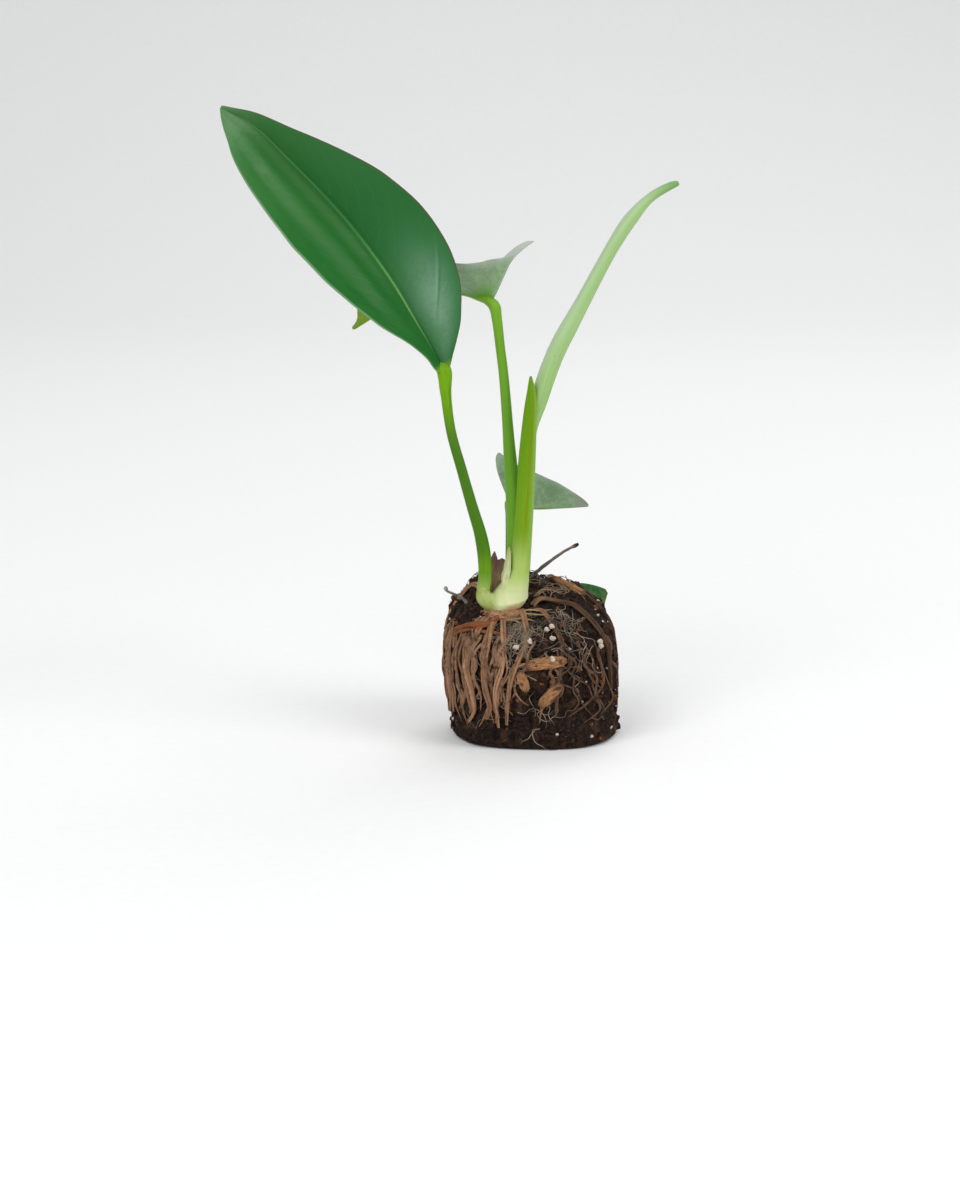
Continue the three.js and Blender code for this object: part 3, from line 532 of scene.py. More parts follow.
def woody(f, pale, dark, earthy, shade=0.55):
    """Root bark: long streaks by the place along the strand, each strand in its own tone, with soil
    left in the hollows, and the whole bark darker towards the right of the plug."""
    place, _, _, number = f.place()
    streak = f.cloud(f.stretched(place, (3.0, 3.0, 9.0)), 2.0, 4.0, 0.7)
    spot = f.spot()
    earth = f.cloud(spot, 420.0, 4.0)
    right = f.step(f.node("SeparateXYZ", {0: spot}).outputs["X"], -2 * MM, 10 * MM)
    colour = f.mix(f.step(streak, 0.32, 0.66), dark, pale)
    tone = f.node("TexWhiteNoise", {"W": f.calc("FLOOR", number)}, noise_dimensions="1D").outputs["Value"]
    dull = f.mix(f.step(streak, 0.3, 0.7), srgb(84, 60, 46), dark)
    colour = f.mix(f.times(tone, 0.6), colour, dull)
    colour = f.mix(f.times(f.step(earth, 0.48, 0.74), earthy), colour, srgb(58, 42, 34))
    # the bark darker towards the right of the plug, by the amount shade
    colour = f.mix(f.times(right, shade), colour, srgb(50, 37, 31))
    relief = f.calc("ADD", streak, f.times(earth, 0.5))
    return {"Base Color": colour, "Normal": f.bump(relief, 0.3, 0.7)}


collar = tube([[-7.8, -9.6, 34.2], [-7.8, -9.6, 36.2], [-7.8, -9.6, 38.4], [-7.8, -9.6, 39.4]],
              [[0, 4.6], [0.35, 6.6], [0.8, 7], [1, 6.2]], 40, 72, FRONT, 0.85, swellings(0.1, 8, 6.0))
roots = piece("brown_roots", [collar, *bundle(), *scattered()],
              finish_material("root_bark", roughness=0.8, build=lambda f: woody(
                  f, srgb(214, 166, 128), srgb(136, 94, 68), 0.5, 0.8)))
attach(roots, "root")
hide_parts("roots")


# Root mat
# The thinner roots that cover the left of the plug as a flat woody mat, with a few that wander over
# the other sides. An orange-brown one crosses over from the crown.


def creeper(guides, thick, rows, sides, lift, number):
    """A thin strand laid over the lumps through guide points, its width uneven along it."""
    points = on_plug(guides, lift)
    facing = unit(points.mean(0) - CORE) + [0, 0, 0.01]
    return tube(points, [[0, thick * 0.6], [0.1, thick], [0.8, thick * 0.8], [1, thick * 0.25]],
                rows, sides, facing, 0.7, swellings(0.3, 14, 1.0, 7 * number), number)


def wandering(count, span, top, low, thick, drift, random):
    """Guides of strands that run down the side within a span of angles, swaying as they go."""
    strands = []
    for i in range(count):
        a = math.radians(span[0] + (span[1] - span[0]) * random.random())
        z0 = top[0] + (top[1] - top[0]) * random.random()
        z1 = low[0] + (low[1] - low[0]) * random.random()
        sway = np.radians(drift) * np.cumsum(random.normal(size=6))
        guides = [around(a + sway[k], z0 + (z1 - z0) * k / 5) for k in range(6)]
        width = thick[0] + (thick[1] - thick[0]) * random.random()
        strands.append(creeper(guides, width, 70, 8, 0.25 + 0.5 * random.random(), i))
    return strands


random = np.random.default_rng(31)
mat = wandering(48, (184, 252), (33, 39), (3, 16), (0.28, 0.6), 2.4, random)
mat += wandering(10, (256, 300), (26, 36), (4, 14), (0.25, 0.5), 5.0, random)
mat += wandering(26, (300, 544), (30, 38), (3, 18), (0.25, 0.55), 5.5, random)
root_mat = piece("root_mat", mat,
                 finish_material("thin_root_bark", roughness=0.82, build=lambda f: woody(
                     f, srgb(188, 148, 116), srgb(110, 76, 56), 0.9)))
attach(root_mat, "root")

RUST_ROOTS = [([[-11, -18, 42], [-15, -19, 39], [-20, -17, 37], [-24, -12, 34]], 0.95),
              ([[-12, -19, 40], [-17, -19, 37.5], [-22, -15, 34], [-25, -11, 31]], 0.75),
              ([[-17.5, -21, 36.4], [-13, -23, 36.8], [-9.6, -24, 36], [-8.2, -24, 34.6]], 0.5)]
rust_roots = piece("rust_roots", [creeper(guides, thick, 80, 10, 0.8, 3) for guides, thick in RUST_ROOTS],
                   finish_material("rust_root_bark", roughness=0.7, build=lambda f: woody(
                       f, srgb(178, 112, 70), srgb(122, 68, 40), 0.35)))
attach(rust_roots, "root")


# Root hairs and fibres
# Hair-thin white-grey roots and dry peat fibres: a net in front under the crown, a tangle at the
# right of the top, straw-coloured ones from the foot of the crown, and stray ones all over.


def curls(count, low, high, length, thick, random):
    """Curled hairs: each starts in a box of guide points and walks on over the plug by steps whose
    heading turns at random."""
    hairs = []
    for i in range(count):
        start = np.array(low) + (np.array(high) - np.array(low)) * random.random(3)
        heading = 2 * np.pi * random.random() + np.cumsum(0.7 * random.normal(size=6))
        out = unit(start - CORE)
        across = unit(np.cross(out, [0.1, 0.2, 1]))
        up = np.cross(across, out)
        reach = length * (0.5 + random.random()) / 6
        steps = np.cumsum(np.cos(heading)[:, None] * across + np.sin(heading)[:, None] * up, axis=0) * reach
        points = on_plug(np.vstack([start, start + steps]), 0.3) + 0.35 * random.random((7, 1)) * out
        taper = [[0, thick], [0.8, thick * 0.8], [1, thick * 0.3]]
        hairs.append(tube(points, taper, 22, 4, out + [0, 0, 0.01]))
    return hairs


def dry_fibre(f):
    """Grey-brown and straw-coloured by turns, darker at the tip."""
    _, _, _, along = f.place()
    tone = f.cloud(f.spot(), 130.0)
    colour = f.mix(f.step(tone, 0.42, 0.6), srgb(98, 86, 76), srgb(158, 142, 122))
    return {"Base Color": f.mix(f.step(along, 0.6, 1.0), colour, srgb(96, 80, 68))}


HAIR_PATCHES = [(150, (-11, -24, 29), (1, -20, 41), 6, 0.065), (46, (7, -22, 36), (16, -16, 43), 8, 0.11),
                (60, (-24, -24, 6), (24, -24, 36), 9, 0.12), (70, (-24, 10, 6), (24, 24, 40), 9, 0.12),
                (50, (-14, -6, 46), (14, 16, 46), 8, 0.12)]
random = np.random.default_rng(47)
fibres = piece("root_hairs", [hair for patch in HAIR_PATCHES for hair in curls(*patch, random)],
               finish_material("dry_fibre", dry_fibre, roughness=0.8))
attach(fibres, "root")

STRAW_ROOTS = [[[-5, -15, 40], [-2, -17, 41.5], [2, -18, 42], [6, -18, 41.5]],
               [[-4.6, -15, 40.4], [-1, -15.5, 42.5], [3, -15.6, 42.8], [7, -15, 42.5]],
               [[-8, -16.4, 39.4], [-5.5, -17.8, 39.6], [-2.4, -18.6, 40], [1, -19.4, 39.6]],
               [[-9.6, -15.8, 39.2], [-7.6, -17.2, 38.8], [-5.4, -18, 38.6], [-3.4, -19, 37.6]]]
straw = piece("straw_roots", [creeper(guides, 0.3, 60, 7, 0.5, i) for i, guides in enumerate(STRAW_ROOTS)],
              finish_material("straw_root", roughness=0.7, build=lambda f: woody(
                  f, srgb(206, 188, 142), srgb(160, 130, 88), 0.3)))
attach(straw, "root")


# Bark chips and the loose root
# Four larger bits of pine bark lie half sunk in the soil, fibrous along their length. A stray end
# of root stands off the plug's left shoulder.

CHIP_WIDE = [[0, 0.45], [0.1, 0.8], [0.25, 0.97], [0.55, 1], [0.85, 0.82], [1, 0.4]]
CHIP_DEEP = [[0, 0.5], [0.1, 0.85], [0.25, 1], [0.55, 0.92], [0.85, 0.98], [1, 0.45]]
CHIPS = [([5, -30, 27.5], 0.5, [1, 0, 0.12], 12, 3.4, 2),
         ([6.4, -30, 16], 0.5, [0.7, 0, 0.75], 9, 3, 2),
         ([-3, -30, 21], 0.4, [0.35, 0, -1], 6.5, 2.8, 1.8),
         ([12.6, 3, 46], 0.6, [1, -0.35, -0.45], 11, 3.6, 2)]
CHIP_SQUARENESS = 3.5


def chip(guide, lift, lengthwise, length, width, thick):
    """A rough bar: at share t and angle a a superellipse section, cut by ridges along its length."""
    at = on_plug([guide], lift, lumpy=False)[0]
    out = unit(at - CORE)
    run = unit(np.array(lengthwise) - np.dot(lengthwise, out) * out)
    side = np.cross(out, run)
    t, a = np.meshgrid(np.linspace(0, 1, 60), 2 * np.pi * np.arange(56) / 56, indexing="ij")
    k = CHIP_SQUARENESS
    box = (np.abs(np.cos(a)) ** k + np.abs(np.sin(a)) ** k) ** (-1 / k)
    lines = np.stack([9 * np.sin(a), 9 * np.cos(a), 3 * t + guide[0]], -1)
    box = box * (1 + 0.12 * noise(lines, 1.0) + 0.08 * noise(lines * 2.3, 1.0))
    w = through(CHIP_WIDE, t) * width / 2 * box * np.cos(a)
    d = through(CHIP_DEEP, t) * thick / 2 * box * np.sin(a)
    grid = at + ((t - 0.5) * length)[..., None] * run + w[..., None] * side + d[..., None] * out
    return skin(grid, np.stack([np.sin(a), np.cos(a), t], -1))


def bark_finish(f):
    """Fibres along the chip, darker ends, and soil left on it."""
    place, _, _, along = f.place()
    fibre = f.cloud(f.stretched(place, (5.0, 5.0, 3.0)), 2.0, 5.0, 0.7)
    colour = f.mix(f.step(fibre, 0.34, 0.64), srgb(112, 70, 46), srgb(204, 152, 106))
    ends = f.calc("ADD", f.bell(along, 0.0, 0.12), f.bell(along, 1.0, 0.12))
    colour = f.mix(f.times(ends, 0.6), colour, srgb(74, 52, 40))
    soiled = f.step(f.cloud(f.spot(), 500.0, 4.0), 0.54, 0.66)
    colour = f.mix(f.times(soiled, 0.8), colour, srgb(60, 46, 38))
    return {"Base Color": colour, "Normal": f.bump(fibre, 0.4, 0.8)}


bark = finish_material("pine_bark", bark_finish, roughness=0.85)
for i, values in enumerate(CHIPS):
    bark_chip = piece(f"bark_bit_{i + 1}", [chip(*values)], bark, 180)
    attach(bark_chip, "root")
    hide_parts(f"bark_chip_{i + 1}")

LOOSE_ROOT = [[-18.2, -1.2, 38.4], [-20.6, -2.2, 41], [-22.8, -4, 42.3], [-24.4, -5, 43.3], [-25, -5.3, 44.6]]
LOOSE_RADIUS = [[0, 0.5], [0.6, 0.36], [0.85, 0.4], [0.95, 0.62], [1, 0.4]]
loose = piece("stray_root", [tube(LOOSE_ROOT, LOOSE_RADIUS, 70, 14, form=swellings(0.15, 12))],
              finish_material("stray_root_bark", roughness=0.8, build=lambda f: woody(
                  f, srgb(226, 222, 216), srgb(132, 124, 118), 0.3)))
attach(loose, "root")
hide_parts("loose_root")


# Twig
# A dry dark stalk of an old leaf, stuck in the soil behind the crown. It bends up to the right and
# ends in a small knob.

TWIG = [[-0.8, 6.6, 41.5], [0.2, 6, 44.9], [2.8, 4, 48], [6.2, 2, 51.1], [10, 0, 54.2], [13.7, -2, 56.6]]
TWIG_RADIUS = [[0, 0.6], [0.5, 0.5], [0.88, 0.4], [0.95, 0.62], [1, 0.45]]


def twig_finish(f):
    """Grey-brown streaks, and a black knob at the end."""
    place, _, _, along = f.place()
    streak = f.cloud(f.stretched(place, (3.0, 3.0, 12.0)), 2.0, 4.0, 0.7)
    colour = f.mix(f.step(streak, 0.36, 0.66), srgb(88, 76, 70), srgb(178, 162, 150))
    colour = f.mix(f.step(along, 0.9, 0.97), colour, srgb(52, 44, 42))
    return {"Base Color": colour, "Normal": f.bump(streak, 0.25, 0.7)}


twig = piece("dry_twig", [tube(TWIG, TWIG_RADIUS, 120, 16, form=swellings(0.16, 18))],
             finish_material("dry_stalk", twig_finish, roughness=0.75))
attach(twig, "root")
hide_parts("twig")


# Crown
# The white-green foot of the shoot, where the stalks clasp one another. A swollen knob at its left
# carries the first stalk; its foot is tan where it meets the roots.

CROWN_RINGS = [[36.8, -8, -9.4, 3.4, 2.8], [38.6, -7.8, -9.7, 5.8, 4.4], [41, -7.4, -10, 6.3, 4.9],
               [43.6, -6.3, -10, 5.4, 4.4], [46.2, -5, -10, 4.3, 3.8], [49, -4.1, -10, 3.5, 3.2],
               [50.6, -3.7, -10, 3.05, 2.85], [52, -3.5, -10, 2.4, 2.3]]
KNOB = [[-8.5, -10.4, 40.2], [-11.5, -11.4, 41.2], [-13.6, -12, 43], [-13.9, -12.1, 44.9],
        [-13.7, -12.1, 47.5]]
KNOB_RADIUS = [[0, 2.5], [0.3, 2.6], [0.5, 2.5], [0.68, 2.15], [0.8, 1.8], [1, 1.1]]
FOOT_HEIGHT = CROWN_RINGS[0][0]
CROWN_HEIGHT = CROWN_RINGS[-1][0] - FOOT_HEIGHT


def crown_body():
    """Stacked ellipses: centre and half widths by height, with soft ribs round it and a fold that
    runs down from the right of the stem to the left of the foot. Its right side starts higher."""
    z, x, y, rx, ry = np.array(CROWN_RINGS).T
    share = np.linspace(0, 1, 90)
    height = z[0] + (z[-1] - z[0]) * share
    a = 2 * np.pi * np.arange(96) / 96
    h, a = np.meshgrid(height, a, indexing="ij")
    cx, cy, wide, deep = (through(np.stack([z, v], -1), h) for v in (x, y, rx, ry))
    lines = np.stack([5 * np.cos(a), 5 * np.sin(a), h * 0.12], -1)
    ring_lines = noise(np.stack([np.cos(a), np.sin(a), h * 1.1], -1), 1.0)
    fold = np.exp(-(((a - 1.5 * np.pi) + 0.13 * (h - 42)) / 0.16) ** 2) * smooth(h, 39, 42)
    lift = 0.3 * np.maximum(0, np.cos(a) + 0.2) * wide * (1 - smooth(h, 38, 44))
    swell = 1 + 0.02 * noise(lines, 1.0) + 0.018 * ring_lines + 0.05 * fold
    grid = np.stack([cx + wide * swell * np.cos(a), cy + deep * swell * np.sin(a), h + lift], -1)
    return skin(grid, np.stack([grid[..., 0] / 10, np.sin(a), (h - FOOT_HEIGHT) / CROWN_HEIGHT], -1))


def crown_finish(f):
    """Cream below to yellow-green above, mottled green on the knob, and tan at the foot."""
    _, left, _, high = f.place()
    spot = f.spot()
    cloudy = f.cloud(spot, 220.0, 4.0)
    streak = f.cloud(f.stretched(spot, (1.0, 1.0, 0.12)), 1400.0, 3.0)
    colour = f.mix(f.step(high, 0.3, 1.0), srgb(222, 228, 176), srgb(166, 196, 92))
    mottled = f.mix(f.step(cloudy, 0.4, 0.6), srgb(140, 168, 74), srgb(176, 190, 118))
    colour = f.mix(f.step(left, -0.85, -1.2), colour, mottled)
    colour = f.mix(f.times(f.step(streak, 0.5, 0.75), 0.35), colour, srgb(196, 208, 150))
    tan = f.times(f.step(high, 0.34, 0.12), f.step(cloudy, 0.3, 0.6))
    colour = f.mix(tan, colour, srgb(206, 168, 116))
    return {"Base Color": colour, "Roughness": f.step(cloudy, -0.6, 1.1), "Normal": f.bump(streak, 0.12, 0.5)}


crown_skin = finish_material("crown_flesh", crown_finish, subsurface_weight=0.25, subsurface_scale=2 * MM)
knob, knob_faces, knob_place = tube(KNOB, KNOB_RADIUS, 70, 64, form=swellings(0.03, 16, 2.0))
knob_place = np.stack([knob[:, 0] / 10, knob_place[:, 0], (knob[:, 2] - FOOT_HEIGHT) / CROWN_HEIGHT], -1)
crown = piece("crown_foot", [crown_body(), (knob, knob_faces, knob_place)], crown_skin)
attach(crown, "root")
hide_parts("crown")


# Dry scale leaves
# Two small scales that wrapped the shoot when it was young: a cream one in front of the stem and a
# brown papery one behind the first stalk.

SCALE_EDGE = [[0, 1.4], [0.4, 1.7], [0.75, 1.1], [1, 0.35]]
CREAM_SCALE = [[-8.5, -12.6, 45.6], [-7.8, -12.3, 50], [-7, -11.9, 54], [-6.5, -11.9, 57.6]]
BROWN_EDGE = [[0, 1.6], [0.35, 2.4], [0.7, 2.6], [0.9, 2.2], [1, 1.1]]
BROWN_SCALE = [[-11.1, -7.2, 43], [-10.8, -6.8, 47], [-10.2, -6.6, 50.6], [-9.7, -6.3, 52.8]]


def blade(midrib, face, halves, rows, columns, relief, half_thick=0.24, keel=0.7):
    """Leaf as a thin closed shell. Across each half the section's angle goes from fold to fold plus
    curl, eased in at the midrib, and its sines and cosines are summed over the half's width. Each
    half leans back along the midrib. Relief moves both faces out along the normal, and the keel
    stands out below. Its place is (share across, share along, face up or down)."""
    t = np.linspace(0, 1, rows) ** 1.35
    reference = np.outer(1 - t, face[0]) + np.outer(t, face[1])
    at, along, out, side = (v[:, None] for v in frames(midrib, t, reference))
    t = t[:, None]
    share = np.linspace(0, 1, columns + 1)[None]
    middle = (share[:, 1:] + share[:, :-1]) / 2
    points, normals = [], []
    for sign, half in zip((-1, 1), halves):
        width, fold, curl, lean = (through(table, t) for table in half)

        def angle(c):
            return np.radians(fold + curl * c) * smooth(c, -0.02, 0.07)

        reach = np.cumsum(np.cos(angle(middle)), 1) / columns
        rise = np.cumsum(np.sin(angle(middle)), 1) / columns
        reach, rise = (np.hstack([np.zeros_like(t), v]) for v in (reach, rise))
        turn = angle(share)[..., None]
        p = at + (sign * width * reach)[..., None] * side + (width * rise)[..., None] * out
        points.append(p - (lean * width * share)[..., None] * along)
        normals.append(np.cos(turn) * out - sign * np.sin(turn) * side)
    p = np.hstack([points[0][:, :0:-1], points[1]])
    n = np.hstack([normals[0][:, :0:-1], normals[1]])
    c = np.hstack([-share[:, :0:-1], share]) + 0 * t
    t = t + 0 * c
    edge = np.minimum(1 - np.abs(c), (1 - t) * 2)
    thick = half_thick * (0.35 + 0.65 * smooth(edge, 0, 0.03))
    rib = keel * np.exp(-(c / 0.05) ** 2) * (1 - 0.7 * t)
    move = relief(t, c)
    upper = p + n * (move + thick - 0.45 * rib)[..., None]
    lower = p + n * (move - thick - rib)[..., None]
    return shell(upper, lower, t, c)


def shell(upper, lower, t, c):
    """Closed body between two like grids, both split into triangles the same way."""
    rows, columns = c.shape
    under = rows * columns
    a = np.arange(under).reshape(rows, columns)
    q, r, s, w = a[:-1, :-1], a[:-1, 1:], a[1:, 1:], a[1:, :-1]
    faces = [np.stack([q, s, w], -1), np.stack([q, r, s], -1),
             np.stack([q, w, s], -1) + under, np.stack([q, s, r], -1) + under]
    rims = [(a[:-1, 0], a[1:, 0]), (a[1:, -1], a[:-1, -1]), (a[0, 1:], a[0, :-1]), (a[-1, :-1], a[-1, 1:])]
    for e, g in rims:
        faces += [np.stack([e, g, g + under], -1), np.stack([e, g + under, e + under], -1)]
    place = [np.stack([c, t, np.full_like(c, face)], -1).reshape(-1, 3) for face in (1, -1)]
    return (np.concatenate([upper.reshape(-1, 3), lower.reshape(-1, 3)]),
            np.concatenate([f.reshape(-1, 3) for f in faces]), np.concatenate(place))


def scale_half(fold, edge=SCALE_EDGE, horn=0.0):
    """Width, fold, curl and lean of one half of a scale leaf: a horn draws its margin up at the tip."""
    return [edge, [[0, fold], [1, fold * 0.6]], [[0, 0], [1, 0]], [[0, 0], [0.5, -0.2 * horn], [1, -horn]]]


def crinkle(t, c):
    """Papery waves that grow to the edge and the tip."""
    return 0.22 * (np.abs(c) + t) * noise(np.stack([3 * c, 9 * t, 0 * t], -1), 1.0)


def papery(f, pale, dark):
    """Fine dark veins along the scale, and a dark tip."""
    place, _, along, _ = f.place()
    vein = f.cloud(f.stretched(place, (9.0, 1.2, 1.0)), 2.0, 4.0, 0.7)
    colour = f.mix(f.step(vein, 0.36, 0.64), dark, pale)
    return {"Base Color": f.mix(f.step(along, 0.5, 0.9), colour, dark), "Normal": f.bump(vein, 0.2, 0.6)}


cream_scale = piece("cream_scale", [blade(CREAM_SCALE, [[0.75, 0.65, 0]] * 2, [scale_half(34)] * 2,
                                          60, 14, crinkle, 0.2, 0)],
                    finish_material("cream_paper", roughness=0.65, build=lambda f: papery(
                        f, srgb(220, 224, 180), srgb(178, 192, 122))))
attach(cream_scale, "root")
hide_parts("cataphyll_1")

brown_halves = [scale_half(20, BROWN_EDGE, horn) for horn in (1.7, 0.7)]
brown_scale = piece("brown_scale", [blade(BROWN_SCALE, [[0.2, -1, 0], [0.4, -0.8, 0]], brown_halves,
                                          60, 14, crinkle, 0.2, 0)],
                    finish_material("brown_paper", roughness=0.8, build=lambda f: papery(
                        f, srgb(226, 190, 152), srgb(146, 112, 102))))
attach(brown_scale, "root")
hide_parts("cataphyll_2")


# Leaf stalks
# Smooth fleshy green stalks, lightly grooved on the side that faces the stem. The first is darker in
# its middle and yellow-green at its top, where it widens into the leaf.

FLAT = [[0, 0], [1, 0]]
CURL_1 = [[0, -10], [0.5, -10], [1, 0]]
FACE_1, FACE_2, FACE_3, FACE_4 = (0.05, -1, 0.08), (0.1, 0.1, 1), (0, 0.1, 1), (0, -0.9, 0.4)
LEAF_1 = [[-25.2, -4, 108.1], [-31.8, -3, 119.3], [-40.3, -1, 133.4], [-52.9, 3, 149.8], [-69.1, 9, 166.3],
          [-80.2, 14, 176.4], [-89.7, 18, 181.3]]
LEFT_1 = [[[0, 2.6], [0.02, 3.5], [0.05, 4.6], [0.1, 7.4], [0.2, 14.8], [0.3, 18.2], [0.4, 19.5], [0.5, 19.5],
           [0.6, 18.1], [0.7, 16], [0.8, 13.4], [0.88, 10.6], [0.94, 7], [0.98, 3.1], [1, 0.4]],
          [[0, 46], [0.05, 60], [0.1, 58], [0.3, 47], [0.5, 38], [0.7, 28], [0.85, 18], [1, 10]],
          CURL_1, FLAT]
RIGHT_1 = [[[0, 2.5], [0.02, 4.4], [0.05, 7.4], [0.1, 11.8], [0.2, 17.2], [0.3, 19.5], [0.4, 20], [0.5, 19.2],
            [0.6, 17], [0.7, 14.4], [0.8, 10.6], [0.88, 6.8], [0.94, 3.4], [1, 0.4]],
           [[0, 30], [0.1, 14], [0.3, 14], [0.5, 33], [0.7, 52], [0.85, 64], [1, 66]], CURL_1, FLAT]
LEAF_2 = [[-11.1, 6, 127.3], [-15.5, 10, 127.8], [-20.2, 16, 128.2], [-30.6, 30, 126], [-43.1, 44, 120.7],
          [-53.7, 54, 112.8]]
LEFT_2 = [[[0, 1.6], [0.015, 7], [0.037, 14], [0.064, 12.6], [0.1, 12.9], [0.2, 13.6], [0.3, 14.8],
           [0.45, 15.3], [0.65, 13], [0.82, 6.8], [0.91, 2.7], [0.96, 1.1], [1, 0.25]],
          [[0, 80], [0.05, 76], [0.1, 56], [0.2, 37], [0.4, 26], [1, 12]], FLAT,
          [[0, 0.7], [0.037, 0.7], [0.064, 0.58], [0.1, 0.66], [0.2, 0.6], [0.4, 0], [1, -0.2]]]
RIGHT_2 = [[[0, 1.6], [0.015, 9], [0.036, 22.2], [0.044, 22], [0.064, 12.2], [0.094, 13], [0.16, 16],
            [0.3, 17.5], [0.45, 16.5], [0.65, 13], [0.82, 6.8], [0.91, 2.7], [0.96, 1.1], [1, 0.25]],
           [[0, 86], [0.05, 85], [0.064, 76], [0.094, 55], [0.14, 40], [0.3, 32], [0.6, 24], [1, 12]],
           [[0, -20], [0.015, -25], [0.037, -56], [0.064, -56], [0.12, -45], [0.3, -25], [1, 0]],
           [[0, 0.2], [0.037, 0.2], [0.064, -0.2], [0.12, -0.5], [0.2, -0.3], [0.4, 0], [1, -0.2]]]
LEAF_3 = [[-6.4, 5, 68.4], [-0.2, 7.5, 65.8], [8.8, 11, 65.2], [17.2, 15, 64.9]]
EDGE_3 = [[0, 1.3], [0.03, 7], [0.08, 10.5], [0.16, 12.2], [0.3, 12.4], [0.42, 11.4], [0.56, 9], [0.7, 6.6],
          [0.85, 3.9], [0.95, 1.9], [1, 0.4]]
LEFT_3 = [EDGE_3, [[0, 50], [1, 40]], [[0, -30], [1, -10]], FLAT]
RIGHT_3 = [EDGE_3, [[0, 84], [1, 74]], FLAT, [[0, 1.15], [0.16, 1], [0.3, 0.6], [0.6, 0.2], [1, 0.1]]]
LEAF_4 = [[9, 19.8, 37.4], [15.5, 20.8, 34.9], [22.3, 20.4, 33]]
HALF_4 = [[[0, 1.2], [0.15, 3.4], [0.4, 5.2], [0.7, 5.6], [0.92, 5.4], [1, 4.4]], [[0, 24], [1, 10]],
          FLAT, FLAT]

PETIOLE_1 = [[-13.9, -12.1, 45.2], [-13.4, -12, 49.2], [-13.6, -11.5, 54.8], [-14.7, -10.8, 61],
             [-17.3, -9.6, 69.7], [-20.1, -8.2, 79.5], [-23.2, -6.6, 90.6], [-24.7, -4.8, 101.6],
             [-25.1, -4.1, 107.4]]
RADIUS_1 = [[0, 1.9], [0.15, 1.95], [0.3, 1.7], [0.5, 1.5], [0.75, 1.4], [0.87, 1.5], [0.94, 1.83], [1, 2.15]]
PETIOLE_2 = [[-6.4, -6.8, 44.5], [-5.5, -7.4, 50], [-4.8, -7.4, 56.6], [-4.8, -6.8, 63.5], [-5.3, -6, 73],
             [-6.2, -4.6, 82.7], [-7.3, -1.8, 97.4], [-8.1, 0.6, 106.4], [-9, 2.6, 113.5], [-9.9, 4.4, 121],
             [-10.7, 5.3, 125.1]]
RADIUS_2 = [[0, 2.1], [0.3, 2.3], [0.42, 2.0], [0.6, 1.55], [0.85, 1.4], [0.95, 1.5], [1, 1.7]]
PETIOLE_3 = [[-6.2, 0.5, 40.5], [-6.2, 1.2, 47], [-6.2, 2.4, 56], [-6.3, 4.1, 64], [-6.4, 4.9, 67.6]]
RADIUS_3 = [[0, 1.5], [0.5, 1.2], [0.9, 1.1], [1, 1.15]]
PETIOLE_4 = [[4.6, 11, 39.6], [5.4, 13.4, 42.6], [6.4, 16, 43], [7.6, 18.4, 41], [8.7, 19.6, 38.2]]


def into_leaf(petiole, radius, leaf, face, sink, form, **settings):
    """Stalk whose flesh runs on under the blade and dies out along the midrib: the stalk's route, then
    points below the midrib by the radius there, times sink at first, with the radius falling to
    nothing. The stalk's own radius stops are drawn in to its share of the whole length."""
    share = np.array([0.03, 0.08, 0.15, 0.28, 0.45])
    at, _, out, _ = frames(leaf, share, face)
    ribs = radius[-1][1] * np.array([0.8, 0.5, 0.36, 0.26, 0.12])
    points = [*petiole, *(at - out * (ribs * np.maximum(sink, [0, 0.9, 1, 1, 1]))[:, None])]
    spans = np.linalg.norm(np.diff(np.array(points), axis=0), axis=1).cumsum()
    stalk_share = spans[len(petiole) - 2] / spans[-1]
    stops = [[t * stalk_share, r] for t, r in radius]
    stops += [[s, r] for s, r in zip(spans[len(petiole) - 1:] / spans[-1], ribs)]
    return tube(points, stops, form=form, **settings)


def stem_form(groove, seed):
    """A groove on the outward side, cosine cubed, and slow swellings along the stalk."""
    return lambda t, a: swellings(0.025, 5, 2.5, seed)(t, a) - groove * np.maximum(0, np.cos(a)) ** 3


def fleshy_streaks():
    """Group: fine streaks and soft blotches along a stalk, from the place on it."""
    group = bpy.data.node_groups.new("stalk_streaks", "ShaderNodeTree")
    group.interface.new_socket("Streak", in_out="OUTPUT", socket_type="NodeSocketFloat")
    group.interface.new_socket("Blotch", in_out="OUTPUT", socket_type="NodeSocketFloat")
    group.interface.new_socket("Normal", in_out="OUTPUT", socket_type="NodeSocketVector")
    f = Finish(group)
    place, _, _, _ = f.place()
    streak = f.cloud(f.stretched(place, (7.0, 7.0, 3.0)), 2.0, 4.0, 0.65)
    blotch = f.cloud(f.stretched(place, (1.0, 1.0, 7.0)), 2.0, 3.0)
    out = group.nodes.new("NodeGroupOutput")
    for name, socket in (("Streak", streak), ("Blotch", blotch), ("Normal", f.bump(streak, 0.12, 0.5))):
        group.links.new(socket, out.inputs[name])
    return group


STREAKS = fleshy_streaks()


def stalk_green(f, stops, light, dark):
    """A stalk's colours by share along it, streaked lighter and darker."""
    _, _, _, along = f.place()
    marks = f.node("Group", {}, node_tree=STREAKS).outputs
    colour = stops[0][1]
    for (low, _), (high, shade) in zip(stops, stops[1:]):
        colour = f.mix(f.step(along, low, high), colour, shade)
    colour = f.mix(f.times(f.step(marks["Streak"], 0.5, 0.75), 0.4), colour, light)
    colour = f.mix(f.times(f.step(marks["Blotch"], 0.5, 0.72), 0.4), colour, dark)
    return {"Base Color": colour, "Normal": marks["Normal"]}


